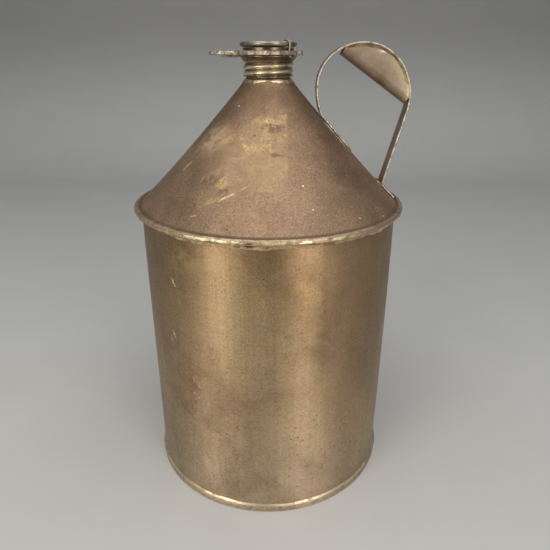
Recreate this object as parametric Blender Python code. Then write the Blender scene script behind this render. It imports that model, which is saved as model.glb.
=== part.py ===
"""Two-gallon sheet-metal fuel can: a round body, a conical top, a loop handle and a threaded cap.

Metres, +Z up. The origin is where the can's axis meets the flat underside of the base pan.
The handle lies in the XZ plane, towards +X, and the lock seams run up the +Y side.
"""

import math

import bmesh
import bpy
from mathutils import Matrix, Vector

MM = 0.001
GAP = 0.3 * MM
SHEET = 0.8 * MM

# Body and base
BODY_RADIUS = 104.0 * MM
BODY_SEGMENTS = 60
PAN_RADIUS = 105.3 * MM
PAN_HEIGHT = 5.5 * MM
LIP_UNDERSIDE = 239.6 * MM
BODY_FLANGE_RADIUS = 108.3 * MM
SEAM_ANGLE = math.radians(90)
SEAM_HALF_WIDTH = 3.5 * MM
SEAM_RISE = 0.8 * MM
SEAM_BOTTOM = 10 * MM
SEAM_TOP = 234 * MM

# Conical top: from the rolled lip up to the neck, a little dished along its slope
LIP_RADIUS = 109.4 * MM
LIP_BOTTOM = 238.8 * MM
CONE_FOOT_RADIUS = 104.0 * MM
CONE_FOOT_Z = 242.5 * MM
CONE_TOP_RADIUS = 17.2 * MM
CONE_TOP_Z = 335.8 * MM
CONE_DISH = 2.0 * MM
CONE_ROWS = 7

# Neck and screw thread
THREAD_PITCH = 4.4 * MM
THREAD_PHASE_Z = 341.5 * MM
THREAD_DEPTH = 0.7 * MM
THREAD_RUN_OUT = 1.1 * MM
ROWS_PER_PITCH = 5
NECK_SEGMENTS = 32
NECK_ROOT_RADIUS = 16.6 * MM
NECK_BORE_RADIUS = 15.4 * MM
NECK_BOTTOM = 331.5 * MM
NECK_THREAD_BOTTOM = 339.0 * MM
NECK_THREAD_TOP = 351.0 * MM
NECK_TOP = 352.6 * MM

# Cap
CAP_BOTTOM = 337.4 * MM
CAP_INNER_RADIUS = 18.5 * MM
CAP_THREAD_TOP = 348.3 * MM
CAP_FLARE_RADIUS = 21.6 * MM
CAP_FLARE_BOTTOM = 351.2 * MM
CAP_SHOULDER_Z = 351.9 * MM
CAP_COLLAR_RADIUS = 19.2 * MM
CAP_COLLAR_TOP = 357.5 * MM
CAP_DISC_TOP = 356.4 * MM
PLATE_BOTTOM = 352.2 * MM
PLATE_THICKNESS = 3.1 * MM
PLATE_RADIUS = 24.2 * MM
TAB_ANGLE = math.radians(180)
TAB_REACH = 45.0 * MM
TAB_ROOT_WIDTH = 17.0 * MM
TAB_END_WIDTH = 11.0 * MM
TAB_RIB_REACH = 34.0 * MM
TAB_RIB_DEPTH = 1.4 * MM
LUG_REACH = 26.2 * MM
LUG_WIDTH = 12.0 * MM
RING_RADIUS = 19.75 * MM
RING_WIRE_RADIUS = 1.85 * MM
RING_Z = 359.8 * MM
WIRE_RADIUS = 0.45 * MM
WIRE_ANGLE = math.radians(-45)
WIRE_HOLE_RADIUS = 1.0 * MM
WIRE_RISE_RADIUS = 22.7 * MM
LINER_RADIUS = 17.9 * MM

# Handle: a strap bent to a loop, in the XZ plane
STRAP_WIDTH = 16.0 * MM
STRAP_THICKNESS = 1.4 * MM
LOOP_CENTRE = Vector((71.1 * MM, 324.4 * MM))
LOOP_RADIUS = 36.8 * MM
LEG_LEAN = math.radians(14.5)
LEG_DISTANCE = 38.0 * MM
OUTER_BLEND_ANGLE = math.radians(30)
INNER_BLEND_ANGLE = math.radians(125)
INNER_RADIUS = 29.5 * MM
LOW_BLEND_ANGLE = math.radians(180)
LOW_RADIUS = 60.0 * MM
FOOT_BLEND_ANGLE = math.radians(197)
UPPER_FOOT_JOIN_RADIUS = 42.0 * MM
UPPER_FOOT_END_RADIUS = 63.0 * MM
LOWER_FOOT_END_RADIUS = 102.6 * MM
FOOT_BEND_RADIUS = 4.0 * MM
LOWER_SOLDER_RADIUS = 90.0 * MM
GRIP_LEFT = Vector((53.3 * MM, 353.4 * MM))
GRIP_RIGHT = Vector((104.6 * MM, 318.3 * MM))
GRIP_HALF_WIDTH = 6.9 * MM
GRIP_MIN_DEPTH = 2.4 * MM
GRIP_SOLDER_ANGLES = (math.radians(4), math.radians(110))


def clear_scene():
    for obj in list(bpy.data.objects):
        bpy.data.objects.remove(obj, do_unlink=True)


def make_material(name, colour, roughness, metallic):
    material = bpy.data.materials.new(name)
    material.use_nodes = True
    shader = material.node_tree.nodes["Principled BSDF"]
    shader.inputs["Base Color"].default_value = (*colour, 1.0)
    shader.inputs["Roughness"].default_value = roughness
    shader.inputs["Metallic"].default_value = metallic
    return material


def add_object(name, mesh, material, origin=(0, 0, 0)):
    """Adds the mesh as a named object whose own origin is at the given world point."""
    mesh.transform(Matrix.Translation(-Vector(origin)))
    mesh.materials.append(material)
    mesh.shade_smooth()
    mesh.set_sharp_from_angle(angle=math.radians(35))
    obj = bpy.data.objects.new(name, mesh)
    obj.location = origin
    bpy.context.scene.collection.objects.link(obj)
    return obj


def mesh_of(name, points, faces):
    """A mesh with all its faces turned outwards."""
    mesh = bpy.data.meshes.new(name)
    mesh.from_pydata(points, [], faces)
    work = bmesh.new()
    work.from_mesh(mesh)
    bmesh.ops.recalc_face_normals(work, faces=work.faces)
    work.to_mesh(mesh)
    work.free()
    return mesh


def even_angles(count):
    return [2 * math.pi * i / count for i in range(count)]


def seamed_angles(radius):
    """Even angles round the can, with extra ones at both edges of the lock seam."""
    half = SEAM_HALF_WIDTH / radius
    edge = SEAM_RISE / radius
    extra = [SEAM_ANGLE + side * offset for side in (-1, 1) for offset in (half, half + edge)]
    kept = [a for a in even_angles(BODY_SEGMENTS) if abs(a - SEAM_ANGLE) > 1.5 * half or a == SEAM_ANGLE]
    return sorted(kept + extra)


def turned(name, profile, angles, shape):
    """Turns a closed profile round Z. shape(point, angle) gives the radius and height there.

    A profile that starts and ends on the axis closes at two poles; any other closes on itself.
    """
    on_axis = profile[0][0] == 0
    ring = profile[1:-1] if on_axis else profile
    points = []
    for angle in angles:
        for item in ring:
            radius, z = shape(item, angle)
            points.append((radius * math.cos(angle), radius * math.sin(angle), z))
    rows = len(ring)
    faces = []
    for i in range(len(angles)):
        here = i * rows
        there = (i + 1) % len(angles) * rows
        for j in range(rows - 1 if on_axis else rows):
            k = (j + 1) % rows
            faces.append((here + j, there + j, there + k, here + k))
    if on_axis:
        for pole, j in ((profile[0], 0), (profile[-1], rows - 1)):
            points.append((0, 0, pole[1]))
            for i in range(len(angles)):
                there = (i + 1) % len(angles) * rows
                faces.append((len(points) - 1, i * rows + j, there + j))
    return mesh_of(name, points, faces)


def plain(item, angle):
    return item[0], item[1]


def threaded(item, angle):
    """Radius of a helical ridge: the third value of a profile point is the ridge's height there."""
    if len(item) < 3:
        return item
    radius, z, height = item
    phase = 2 * math.pi * (z - THREAD_PHASE_Z) / THREAD_PITCH - angle
    return radius + height * math.cos(phase), z


def seamed(item, angle):
    """Radius of a sheet whose marked points stand proud along the lock seam."""
    radius, z, *marked = item
    over_seam = abs(angle - SEAM_ANGLE) * radius < SEAM_HALF_WIDTH + 0.01 * MM
    return radius + (SEAM_RISE if marked and over_seam else 0), z


def ragged(amount):
    """A solder bead's outer points wander by this much round the can."""

    def shape(item, angle):
        radius, z, *marked = item
        if not marked:
            return radius, z
        wave = 0.5 * math.sin(5 * angle + 1.3) + 0.3 * math.sin(13 * angle) + 0.2 * math.sin(23 * angle + 0.7)
        return radius, z + marked[0] * amount * wave

    return shape


def cone_z(radius):
    """Height of the conical top's outer surface at this radius."""
    t = (CONE_FOOT_RADIUS - radius) / (CONE_FOOT_RADIUS - CONE_TOP_RADIUS)
    return CONE_FOOT_Z + (CONE_TOP_Z - CONE_FOOT_Z) * t - 4 * CONE_DISH * t * (1 - t)


def cone_normal(radius):
    """Outward normal of the conical top in the radius-height plane."""
    step = 0.1 * MM
    slope = (cone_z(radius + step) - cone_z(radius - step)) / (2 * step)
    return Vector((-slope, 1)).normalized()


def above_cone(radius, height):
    """A radius-height point this far off the cone's outer surface."""
    return Vector((radius, cone_z(radius))) + cone_normal(radius) * height


def base_pan(material):
    inner = PAN_RADIUS - 0.7 * MM
    profile = [
        (0, 0),
        (PAN_RADIUS - 0.8 * MM, 0),
        (PAN_RADIUS, 0.8 * MM),
        (PAN_RADIUS, PAN_HEIGHT),
        (inner, PAN_HEIGHT),
        (inner, SHEET),
        (0, SHEET),
    ]
    mesh = turned("base_pan", profile, even_angles(BODY_SEGMENTS), plain)
    return add_object("base_pan", mesh, material)


def base_solder(material):
    inner = BODY_RADIUS + 0.35 * MM
    foot = PAN_HEIGHT + GAP
    profile = [
        (inner, foot),
        (PAN_RADIUS - 0.1 * MM, foot),
        (PAN_RADIUS - 0.4 * MM, foot + 1.3 * MM, 0.4),
        (inner, foot + 3.2 * MM, 1),
    ]
    mesh = turned("base_solder", profile, even_angles(BODY_SEGMENTS), ragged(0.5 * MM))
    return add_object("base_solder", mesh, material)


def body_wall(material):
    bottom = SHEET + GAP
    flange_top = LIP_UNDERSIDE + 0.7 * MM
    inner = BODY_RADIUS - SHEET
    profile = [
        (BODY_RADIUS, bottom),
        (BODY_RADIUS, SEAM_BOTTOM),
        (BODY_RADIUS, SEAM_BOTTOM + SEAM_RISE, "seam"),
        (BODY_RADIUS, SEAM_TOP - SEAM_RISE, "seam"),
        (BODY_RADIUS, SEAM_TOP),
        (BODY_RADIUS, LIP_UNDERSIDE),
        (BODY_FLANGE_RADIUS, LIP_UNDERSIDE),
        (BODY_FLANGE_RADIUS, flange_top),
        (inner, flange_top),
        (inner, bottom),
    ]
    mesh = turned("body_wall", profile, seamed_angles(BODY_RADIUS), seamed)
    return add_object("body_wall", mesh, material)


def cone_profile():
    inner_lip = LIP_RADIUS - 0.7 * MM
    flange_bottom = LIP_UNDERSIDE + 1.0 * MM
    span = CONE_FOOT_RADIUS - CONE_TOP_RADIUS
    radii = [CONE_FOOT_RADIUS - span * i / CONE_ROWS for i in range(CONE_ROWS + 1)]
    outside = [(r, cone_z(r)) for r in radii]
    inside = [(r, cone_z(r) - 1.15 * MM) for r in reversed(radii[1:])]
    return [
        (inner_lip, LIP_BOTTOM),
        (LIP_RADIUS, LIP_BOTTOM),
        (LIP_RADIUS, CONE_FOOT_Z - 0.8 * MM),
        (LIP_RADIUS - 0.8 * MM, CONE_FOOT_Z),
        *outside,
        *inside,
        (BODY_RADIUS - SHEET, flange_bottom),
        (inner_lip, flange_bottom),
    ]


def cone_top(material):
    mesh = turned("cone_top", cone_profile(), even_angles(BODY_SEGMENTS), plain)
    return add_object("cone_top", mesh, material)


def shoulder_solder(material):
    inner = BODY_RADIUS + 0.35 * MM
    top = LIP_UNDERSIDE - GAP
    profile = [
        (inner, top),
        (inner, top - 3.6 * MM, 1),
        (inner + 0.6 * MM, top - 3.0 * MM, 1),
        (inner + 2.2 * MM, top - 1.0 * MM, 0.5),
        (inner + 3.2 * MM, top),
    ]
    mesh = turned("shoulder_solder", profile, even_angles(BODY_SEGMENTS), ragged(0.7 * MM))
    return add_object("shoulder_solder", mesh, material)


def thread_rows(bottom, top):
    """Heights along a thread, and how far the ridge has risen there: 0 at both ends, then 1."""
    count = round((top - bottom) / THREAD_PITCH * ROWS_PER_PITCH)
    rows = []
    for i in range(count + 1):
        z = bottom + (top - bottom) * i / count
        from_end = min(z - bottom, top - z)
        rows.append((z, min(1.0, from_end / THREAD_RUN_OUT)))
    return rows


def neck_tube(material):
    rows = thread_rows(NECK_THREAD_BOTTOM, NECK_THREAD_TOP)
    outside = [(NECK_ROOT_RADIUS + THREAD_DEPTH * rise, z, THREAD_DEPTH * rise) for z, rise in rows]
    profile = [
        (NECK_BORE_RADIUS, NECK_BOTTOM),
        (NECK_ROOT_RADIUS, NECK_BOTTOM),
        *outside,
        (NECK_ROOT_RADIUS, NECK_TOP),
        (NECK_BORE_RADIUS, NECK_TOP),
    ]
    mesh = turned("neck_tube", profile, even_angles(NECK_SEGMENTS), threaded)
    return add_object("neck_tube", mesh, material)


def neck_solder(material):
    inner = NECK_ROOT_RADIUS + 0.35 * MM
    toe = 19.4 * MM
    profile = [
        (inner, CONE_TOP_Z + 0.6 * MM),
        (toe - 0.2 * MM, cone_z(toe - 0.2 * MM) + 0.5 * MM),
        (toe, cone_z(toe) + 0.9 * MM),
        (inner + 0.8 * MM, CONE_TOP_Z + 0.9 * MM),
        (inner, CONE_TOP_Z + 1.25 * MM),
    ]
    mesh = turned("neck_solder", profile, even_angles(NECK_SEGMENTS), plain)
    return add_object("neck_solder", mesh, material)


def swept_mesh(name, sections):
    """A closed body through matching rings of points, with both ends capped."""
    size = len(sections[0])
    points = [point for section in sections for point in section]
    faces = []
    for i in range(len(sections) - 1):
        for j in range(size):
            k = (j + 1) % size
            faces.append((i * size + j, i * size + k, (i + 1) * size + k, (i + 1) * size + j))
    faces.append(tuple(range(size)))
    faces.append(tuple(range(len(points) - size, len(points))))
    return mesh_of(name, points, faces)


def bead_on_cone(name, route, width, height, material):
    """A rounded ribbon of solder that lies on the cone along a route of (x, y) points."""
    sections = []
    for i, (x, y) in enumerate(route):
        ahead = Vector(route[min(i + 1, len(route) - 1)])
        behind = Vector(route[max(i - 1, 0)])
        along = (ahead - behind).normalized()
        across = Vector((-along.y, along.x))
        section = []
        for side, lift in ((-1, 0), (-0.6, 0.7), (0, 1), (0.6, 0.7), (1, 0)):
            spot = Vector((x, y)) + across * side * width / 2
            radius = spot.length
            raised = above_cone(radius, 0.45 * MM + lift * height)
            section.append((*(spot * raised.x / radius), raised.y))
        sections.append(section)
    return add_object(name, swept_mesh(name, sections), material)


def body_seam_solder(material):
    """A thin run of solder in the corner beside the body's lock seam."""
    angle = SEAM_ANGLE - (SEAM_HALF_WIDTH + 2.4 * MM) / BODY_RADIUS
    outward = Vector((math.cos(angle), math.sin(angle), 0))
    across = Vector((-outward.y, outward.x, 0))
    lift = BODY_RADIUS + GAP
    sections = []
    for z in (SEAM_BOTTOM + 2 * MM, SEAM_TOP - 2 * MM):
        centre = outward * lift + Vector((0, 0, z))
        section = []
        for side, rise in ((-1, 0), (-0.4, 0.6), (0.5, 0.7), (1, 0)):
            section.append(tuple(centre + across * side * MM + outward * rise * MM))
        sections.append(section)
    return add_object("body_seam_solder", swept_mesh("body_seam_solder", sections), material)


def cone_seam_solder(material):
    count = 12
    radii = [98 * MM - 72 * MM * i / count for i in range(count + 1)]
    route = [(r * math.cos(SEAM_ANGLE), r * math.sin(SEAM_ANGLE)) for r in radii]
    return bead_on_cone("cone_seam_solder", route, 5 * MM, 0.5 * MM, material)


def arc_points(centre, radius, start, end, count):
    """Points of an arc in the XZ plane, each with its direction away from the centre."""
    found = []
    for i in range(count + 1):
        angle = start + (end - start) * i / count
        outward = Vector((math.cos(angle), math.sin(angle)))
        found.append((centre + outward * radius, outward))
    return found


def meeting_point(normal_a, reach_a, normal_b, reach_b):
    """The point at distance reach_a along normal_a and reach_b along normal_b."""
    area = normal_a.x * normal_b.y - normal_a.y * normal_b.x
    x = (reach_a * normal_b.y - reach_b * normal_a.y) / area
    y = (normal_a.x * reach_b - normal_b.x * reach_a) / area
    return Vector((x, y))


def lower_bend(lift):
    """The strap's bend from the lower foot up into the leg, as (point, normal) pairs."""
    foot_normal = cone_normal(LOWER_FOOT_END_RADIUS)
    foot_point = above_cone(LOWER_FOOT_END_RADIUS, lift)
    leg_normal = Vector((math.cos(LEG_LEAN), -math.sin(LEG_LEAN)))
    leg_point = LOOP_CENTRE + leg_normal * LEG_DISTANCE
    foot_reach = foot_point.dot(foot_normal) + FOOT_BEND_RADIUS
    leg_reach = leg_point.dot(leg_normal) + FOOT_BEND_RADIUS
    centre = meeting_point(foot_normal, foot_reach, leg_normal, leg_reach)
    start = math.atan2(foot_normal.y, foot_normal.x)
    bend = arc_points(centre, -FOOT_BEND_RADIUS, start, -LEG_LEAN, 5)
    return [(foot_point, foot_normal), *bend]


def direction(angle):
    return Vector((math.cos(angle), math.sin(angle)))


def loop_arcs():
    """The loop's arcs, each tangent to the next: (centre, radius, start angle, end angle).

    It opens out towards its leg, is tighter on the can's side, and nearly straight above the foot.
    """
    turn = 1 - math.cos(OUTER_BLEND_ANGLE + LEG_LEAN)
    outer_radius = LOOP_RADIUS + (LEG_DISTANCE - LOOP_RADIUS) / turn
    outer_centre = LOOP_CENTRE + direction(OUTER_BLEND_ANGLE) * (LOOP_RADIUS - outer_radius)
    inner_centre = LOOP_CENTRE + direction(INNER_BLEND_ANGLE) * (LOOP_RADIUS - INNER_RADIUS)
    low_centre = inner_centre + direction(LOW_BLEND_ANGLE) * (INNER_RADIUS - LOW_RADIUS)
    return [
        (outer_centre, outer_radius, -LEG_LEAN, OUTER_BLEND_ANGLE),
        (LOOP_CENTRE, LOOP_RADIUS, OUTER_BLEND_ANGLE, INNER_BLEND_ANGLE),
        (inner_centre, INNER_RADIUS, INNER_BLEND_ANGLE, LOW_BLEND_ANGLE),
        (low_centre, LOW_RADIUS, LOW_BLEND_ANGLE, FOOT_BLEND_ANGLE),
    ]


def loop_points():
    """(point, normal) pairs along the middle of the strap, from the top of its leg to its last bend."""
    points = []
    for (centre, radius, start, end), count in zip(loop_arcs(), (8, 13, 8, 4)):
        points += arc_points(centre, radius, start, end, count)[1 if points else 0:]
    return points


def upper_bend(lift):
    """The loop's last small bend, which runs smoothly onto the cone, and the upper foot."""
    before, before_radius, _, start = loop_arcs()[-1]
    normal = cone_normal(UPPER_FOOT_JOIN_RADIUS)
    join = above_cone(UPPER_FOOT_JOIN_RADIUS, lift)
    facing = normal.dot(direction(start))
    radius = (normal.dot(before - join) + before_radius * facing) / (1 + facing)
    centre = before + direction(start) * (before_radius - radius)
    end_angle = math.atan2(normal.y, normal.x) + math.pi
    bend = arc_points(centre, radius, start, end_angle, 5)
    first = bend[-1][0].x
    foot = []
    for i in range(1, 6):
        x = first + (UPPER_FOOT_END_RADIUS - first) * i / 5
        foot.append((above_cone(x, lift), -cone_normal(x)))
    return bend[1:] + foot


def strap_route():
    """(point, normal) pairs along the middle of the strap, from the lower foot to the upper foot."""
    lift = GAP + STRAP_THICKNESS / 2
    return lower_bend(lift) + loop_points() + upper_bend(lift)


def inner_face(start, end):
    """(point, normal) pairs on the loop's inner face, between two angles of its normal."""
    found = []
    for point, normal in loop_points():
        if start <= math.atan2(normal.y, normal.x) <= end:
            found.append((point - normal * (STRAP_THICKNESS / 2 + GAP), normal))
    return found


def depth_to_strap(bottom, towards_strap):
    """How far the loop's inner face is from a point of the grip's chord."""
    across = Vector((towards_strap.y, -towards_strap.x))
    inside = [point for point, _ in inner_face(-math.pi, math.pi)]
    for a, b in zip(inside, inside[1:]):
        ahead = (a - bottom).dot(across)
        behind = (b - bottom).dot(across)
        if ahead * behind <= 0 and ahead != behind:
            return (a.lerp(b, ahead / (ahead - behind)) - bottom).dot(towards_strap)
    return GRIP_MIN_DEPTH


def handle_strap(material):
    half = STRAP_WIDTH / 2
    rim = half - 0.4 * MM
    face = STRAP_THICKNESS / 2
    edge = face - 0.4 * MM
    outline = [(-half, -edge), (-rim, -face), (rim, -face), (half, -edge)]
    outline += [(half, edge), (rim, face), (-rim, face), (-half, edge)]
    sections = []
    for point, normal in strap_route():
        spots = [(point + normal * rise, y) for y, rise in outline]
        sections.append([(spot.x, y, spot.y) for spot, y in spots])
    return add_object("handle_strap", swept_mesh("handle_strap", sections), material)


def grip_section(bottom, towards_strap, depth):
    """One cross-section of the grip's trough: down its outer face, then back up its inner face."""
    section = []
    for inset, way in ((0, 1), (SHEET, -1)):
        half = GRIP_HALF_WIDTH - inset
        round_depth = min(half, 0.8 * depth) - inset * 0.4
        outline = [(-half, depth)]
        for i in range(9):
            angle = math.pi * i / 8
            outline.append((-half * math.cos(angle), inset + round_depth * (1 - math.sin(angle))))
        outline.append((half, depth))
        for y, rise in outline[::way]:
            spot = bottom + towards_strap * rise
            section.append((spot.x, y, spot.y))
    return section


def handle_grip(material):
    """A sheet bent to a trough that closes the upper part of the loop, so that it fills the hand."""
    along = GRIP_RIGHT - GRIP_LEFT
    length = along.length
    along.normalize()
    towards_strap = Vector((-along.y, along.x))
    sections = []
    count = 14
    for i in range(count + 1):
        bottom = GRIP_LEFT + along * length * (0.06 + 0.94 * i / count)
        depth = max(depth_to_strap(bottom, towards_strap), GRIP_MIN_DEPTH)
        sections.append(grip_section(bottom, towards_strap, depth))
    return add_object("handle_grip", swept_mesh("handle_grip", sections), material)


def grip_solder(name, side, material):
    """A fillet along one wall of the grip, in the corner that it makes with the strap."""
    outline = [(0.3, 0), (1.0, 0), (0.7, -1.0), (0.3, -2.2)]
    sections = []
    for corner, outward in inner_face(*GRIP_SOLDER_ANGLES):
        section = []
        for away, drop in outline:
            spot = corner + outward * drop * MM
            section.append((spot.x, side * (GRIP_HALF_WIDTH + away * MM), spot.y))
        sections.append(section)
    return add_object(name, swept_mesh(name, sections), material)


def upper_foot_solder(material):
    """A bead round the sides and the end of the upper foot."""
    side = STRAP_WIDTH / 2 + 2.2 * MM
    end = UPPER_FOOT_END_RADIUS + 2.2 * MM
    corner = 3.0 * MM
    start = UPPER_FOOT_JOIN_RADIUS + 4 * MM
    near = [(start, -side), ((start + end) / 2, -side)]
    turn = arc_points(Vector((end - corner, corner - side)), corner, -math.pi / 2, 0, 4)
    near += [tuple(point) for point, _ in turn]
    far = [(x, -y) for x, y in reversed(near)]
    return bead_on_cone("upper_foot_solder", near + far, 2.8 * MM, 1.3 * MM, material)


def lower_foot_solder(material):
    """A bead on the inner side of the lower foot, where the leg meets the cone."""
    radius = LOWER_SOLDER_RADIUS
    spread = math.radians(5.5)
    route = []
    for i in range(7):
        angle = spread * (i / 3 - 1)
        route.append((radius * math.cos(angle), radius * math.sin(angle)))
    return bead_on_cone("lower_foot_solder", route, 3.0 * MM, 1.2 * MM, material)


def cap_profile():
    """The cap's section, from the middle of its disc's underside round to the middle of its top."""
    rows = thread_rows(CAP_BOTTOM, CAP_THREAD_TOP)
    inside = []
    outside = []
    for z, rise in rows:
        height = THREAD_DEPTH * rise
        inside.append((CAP_INNER_RADIUS - height, z, height))
        outside.append((CAP_INNER_RADIUS + SHEET - height, z, height))
    bore = CAP_COLLAR_RADIUS - 0.75 * MM
    disc_bottom = CAP_DISC_TOP - SHEET
    return [
        (0, disc_bottom),
        (bore, disc_bottom),
        (bore, CAP_THREAD_TOP + 0.6 * MM),
        *reversed(inside),
        *outside,
        (CAP_FLARE_RADIUS, CAP_FLARE_BOTTOM),
        (CAP_FLARE_RADIUS, CAP_SHOULDER_Z),
        (CAP_COLLAR_RADIUS, CAP_SHOULDER_Z),
        (CAP_COLLAR_RADIUS, CAP_COLLAR_TOP),
        (bore, CAP_COLLAR_TOP),
        (bore, CAP_DISC_TOP),
        (0, CAP_DISC_TOP),
    ]


def cap_shell(material, seat):
    mesh = turned("cap_shell", cap_profile(), even_angles(NECK_SEGMENTS), threaded)
    return add_object("cap_shell", mesh, material, seat)


def ear_outline(angle, root_width, end_width, reach):
    """The outline of one of the lug plate's ears: out along one side, round its end and back."""
    root = math.asin(root_width / 2 / PLATE_RADIUS)
    radius = end_width / 2
    centre = Vector((reach - radius, 0))
    outline = [Vector((PLATE_RADIUS * math.cos(root), -PLATE_RADIUS * math.sin(root)))]
    outline += [point for point, _ in arc_points(centre, radius, -math.pi / 2, math.pi / 2, 8)]
    outline.append(Vector((outline[0].x, -outline[0].y)))
    turn = Matrix.Rotation(angle, 2)
    return [turn @ point for point in outline]


def plate_outline():
    tab = ear_outline(TAB_ANGLE, TAB_ROOT_WIDTH, TAB_END_WIDTH, TAB_REACH)
    lug = ear_outline(TAB_ANGLE - math.pi, LUG_WIDTH + 5 * MM, LUG_WIDTH, LUG_REACH)
    outline = []
    for ear, following in ((lug, tab), (tab, lug)):
        start = math.atan2(ear[-1].y, ear[-1].x)
        end = math.atan2(following[0].y, following[0].x)
        end += 2 * math.pi if end < start else 0
        rim = arc_points(Vector((0, 0)), PLATE_RADIUS, start, end, 14)
        outline += ear + [point for point, _ in rim[1:-1]]
    return outline


def prism(name, outline, bottom, top):
    low = [(point.x, point.y, bottom) for point in outline]
    high = [(point.x, point.y, top) for point in outline]
    return swept_mesh(name, [low, high])


def add_tool(name, mesh, origin):
    """A hidden shape that another object's Boolean uses."""
    mesh.transform(Matrix.Translation(-Vector(origin)))
    tool = bpy.data.objects.new(name, mesh)
    tool.location = origin
    tool.hide_render = True
    tool.display_type = "WIRE"
    bpy.context.scene.collection.objects.link(tool)
    return tool


def combine(obj, tool, operation):
    boolean = obj.modifiers.new(tool.name, "BOOLEAN")
    boolean.operation = operation
    boolean.object = tool


def circle(centre, radius, count):
    return [point for point, _ in arc_points(centre, radius, 0, 2 * math.pi, count)[:-1]]


def lug_plate(material, seat):
    """The plate that turns the cap: a ring with a long tab, a short lug and a hole for the seal wire."""
    top = PLATE_BOTTOM + PLATE_THICKNESS
    mesh = prism("lug_plate", plate_outline(), PLATE_BOTTOM, top)
    obj = add_object("lug_plate", mesh, material, seat)
    rib_outline = []
    for x, y in ((22.2 * MM, -4 * MM), (TAB_RIB_REACH, -3 * MM), (TAB_RIB_REACH, 3 * MM), (22.2 * MM, 4 * MM)):
        rib_outline.append(Matrix.Rotation(TAB_ANGLE, 2) @ Vector((x, y)))
    rib = prism("tab_rib", rib_outline, PLATE_BOTTOM - TAB_RIB_DEPTH, PLATE_BOTTOM + 1 * MM)
    combine(obj, add_tool("tab_rib", rib, seat), "UNION")
    hole = circle(Vector((0, 0)), CAP_COLLAR_RADIUS + GAP, NECK_SEGMENTS)
    bore = prism("plate_bore", hole, PLATE_BOTTOM - 5 * MM, top + 5 * MM)
    combine(obj, add_tool("plate_bore", bore, seat), "DIFFERENCE")
    spot = Vector((math.cos(WIRE_ANGLE), math.sin(WIRE_ANGLE))) * WIRE_RISE_RADIUS
    hole = circle(spot, WIRE_HOLE_RADIUS, 12)
    wire_hole = prism("wire_hole", hole, PLATE_BOTTOM - 5 * MM, top + 5 * MM)
    combine(obj, add_tool("wire_hole", wire_hole, seat), "DIFFERENCE")
    return obj


def cap_top_ring(material, seat):
    centre = Vector((RING_RADIUS, RING_Z))
    profile = [tuple(point) for point in circle(centre, RING_WIRE_RADIUS, 10)]
    mesh = turned("cap_top_ring", profile, even_angles(NECK_SEGMENTS), plain)
    return add_object("cap_top_ring", mesh, material, seat)


def cap_liner_disc(material, seat):
    bottom = CAP_DISC_TOP - SHEET - GAP - 0.7 * MM
    top = bottom + 0.7 * MM
    profile = [(0, bottom), (LINER_RADIUS, bottom), (LINER_RADIUS, top), (0, top)]
    mesh = turned("cap_liner_disc", profile, even_angles(NECK_SEGMENTS), plain)
    return add_object("cap_liner_disc", mesh, material, seat)


def cap_gasket(material, seat):
    bottom = NECK_TOP + GAP
    top = CAP_DISC_TOP - SHEET - 2 * GAP - 0.7 * MM
    inner = 12.5 * MM
    profile = [(inner, bottom), (LINER_RADIUS, bottom), (LINER_RADIUS, top), (inner, top)]
    mesh = turned("cap_gasket", profile, even_angles(NECK_SEGMENTS), plain)
    return add_object("cap_gasket", mesh, material, seat)


def seal_wire(material, seat):
    """A wire that comes up through the lug plate and hooks over the top ring."""
    hook = RING_WIRE_RADIUS + WIRE_RADIUS + 0.6 * MM
    route = [
        Vector((WIRE_RISE_RADIUS + 3.0 * MM, PLATE_BOTTOM - 1.9 * MM)),
        Vector((WIRE_RISE_RADIUS + 1.0 * MM, PLATE_BOTTOM - 1.9 * MM)),
        Vector((WIRE_RISE_RADIUS, PLATE_BOTTOM - 0.9 * MM)),
        Vector((WIRE_RISE_RADIUS, PLATE_BOTTOM + PLATE_THICKNESS)),
    ]
    over = arc_points(Vector((RING_RADIUS, RING_Z)), hook, math.radians(-10), math.radians(200), 12)
    route += [point for point, _ in over]
    curve = bpy.data.curves.new("seal_wire", "CURVE")
    curve.dimensions = "3D"
    curve.bevel_depth = WIRE_RADIUS
    curve.bevel_resolution = 2
    curve.use_fill_caps = True
    spline = curve.splines.new("POLY")
    spline.points.add(len(route) - 1)
    outward = Vector((math.cos(WIRE_ANGLE), math.sin(WIRE_ANGLE), 0))
    for spot, point in zip(route, spline.points):
        place = outward * spot.x + Vector((0, 0, spot.y)) - Vector(seat)
        point.co = (*place, 1)
    curve.materials.append(material)
    obj = bpy.data.objects.new("seal_wire", curve)
    obj.location = seat
    bpy.context.scene.collection.objects.link(obj)
    return obj


def build_can(steel, solder):
    base_pan(steel)
    body_wall(steel)
    cone_top(steel)
    neck_tube(steel)
    base_solder(solder)
    shoulder_solder(solder)
    neck_solder(solder)
    body_seam_solder(solder)
    cone_seam_solder(solder)


def build_handle(steel, solder):
    handle_strap(steel)
    handle_grip(steel)
    grip_solder("grip_solder_front", -1, solder)
    grip_solder("grip_solder_rear", 1, solder)
    upper_foot_solder(solder)
    lower_foot_solder(solder)


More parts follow.
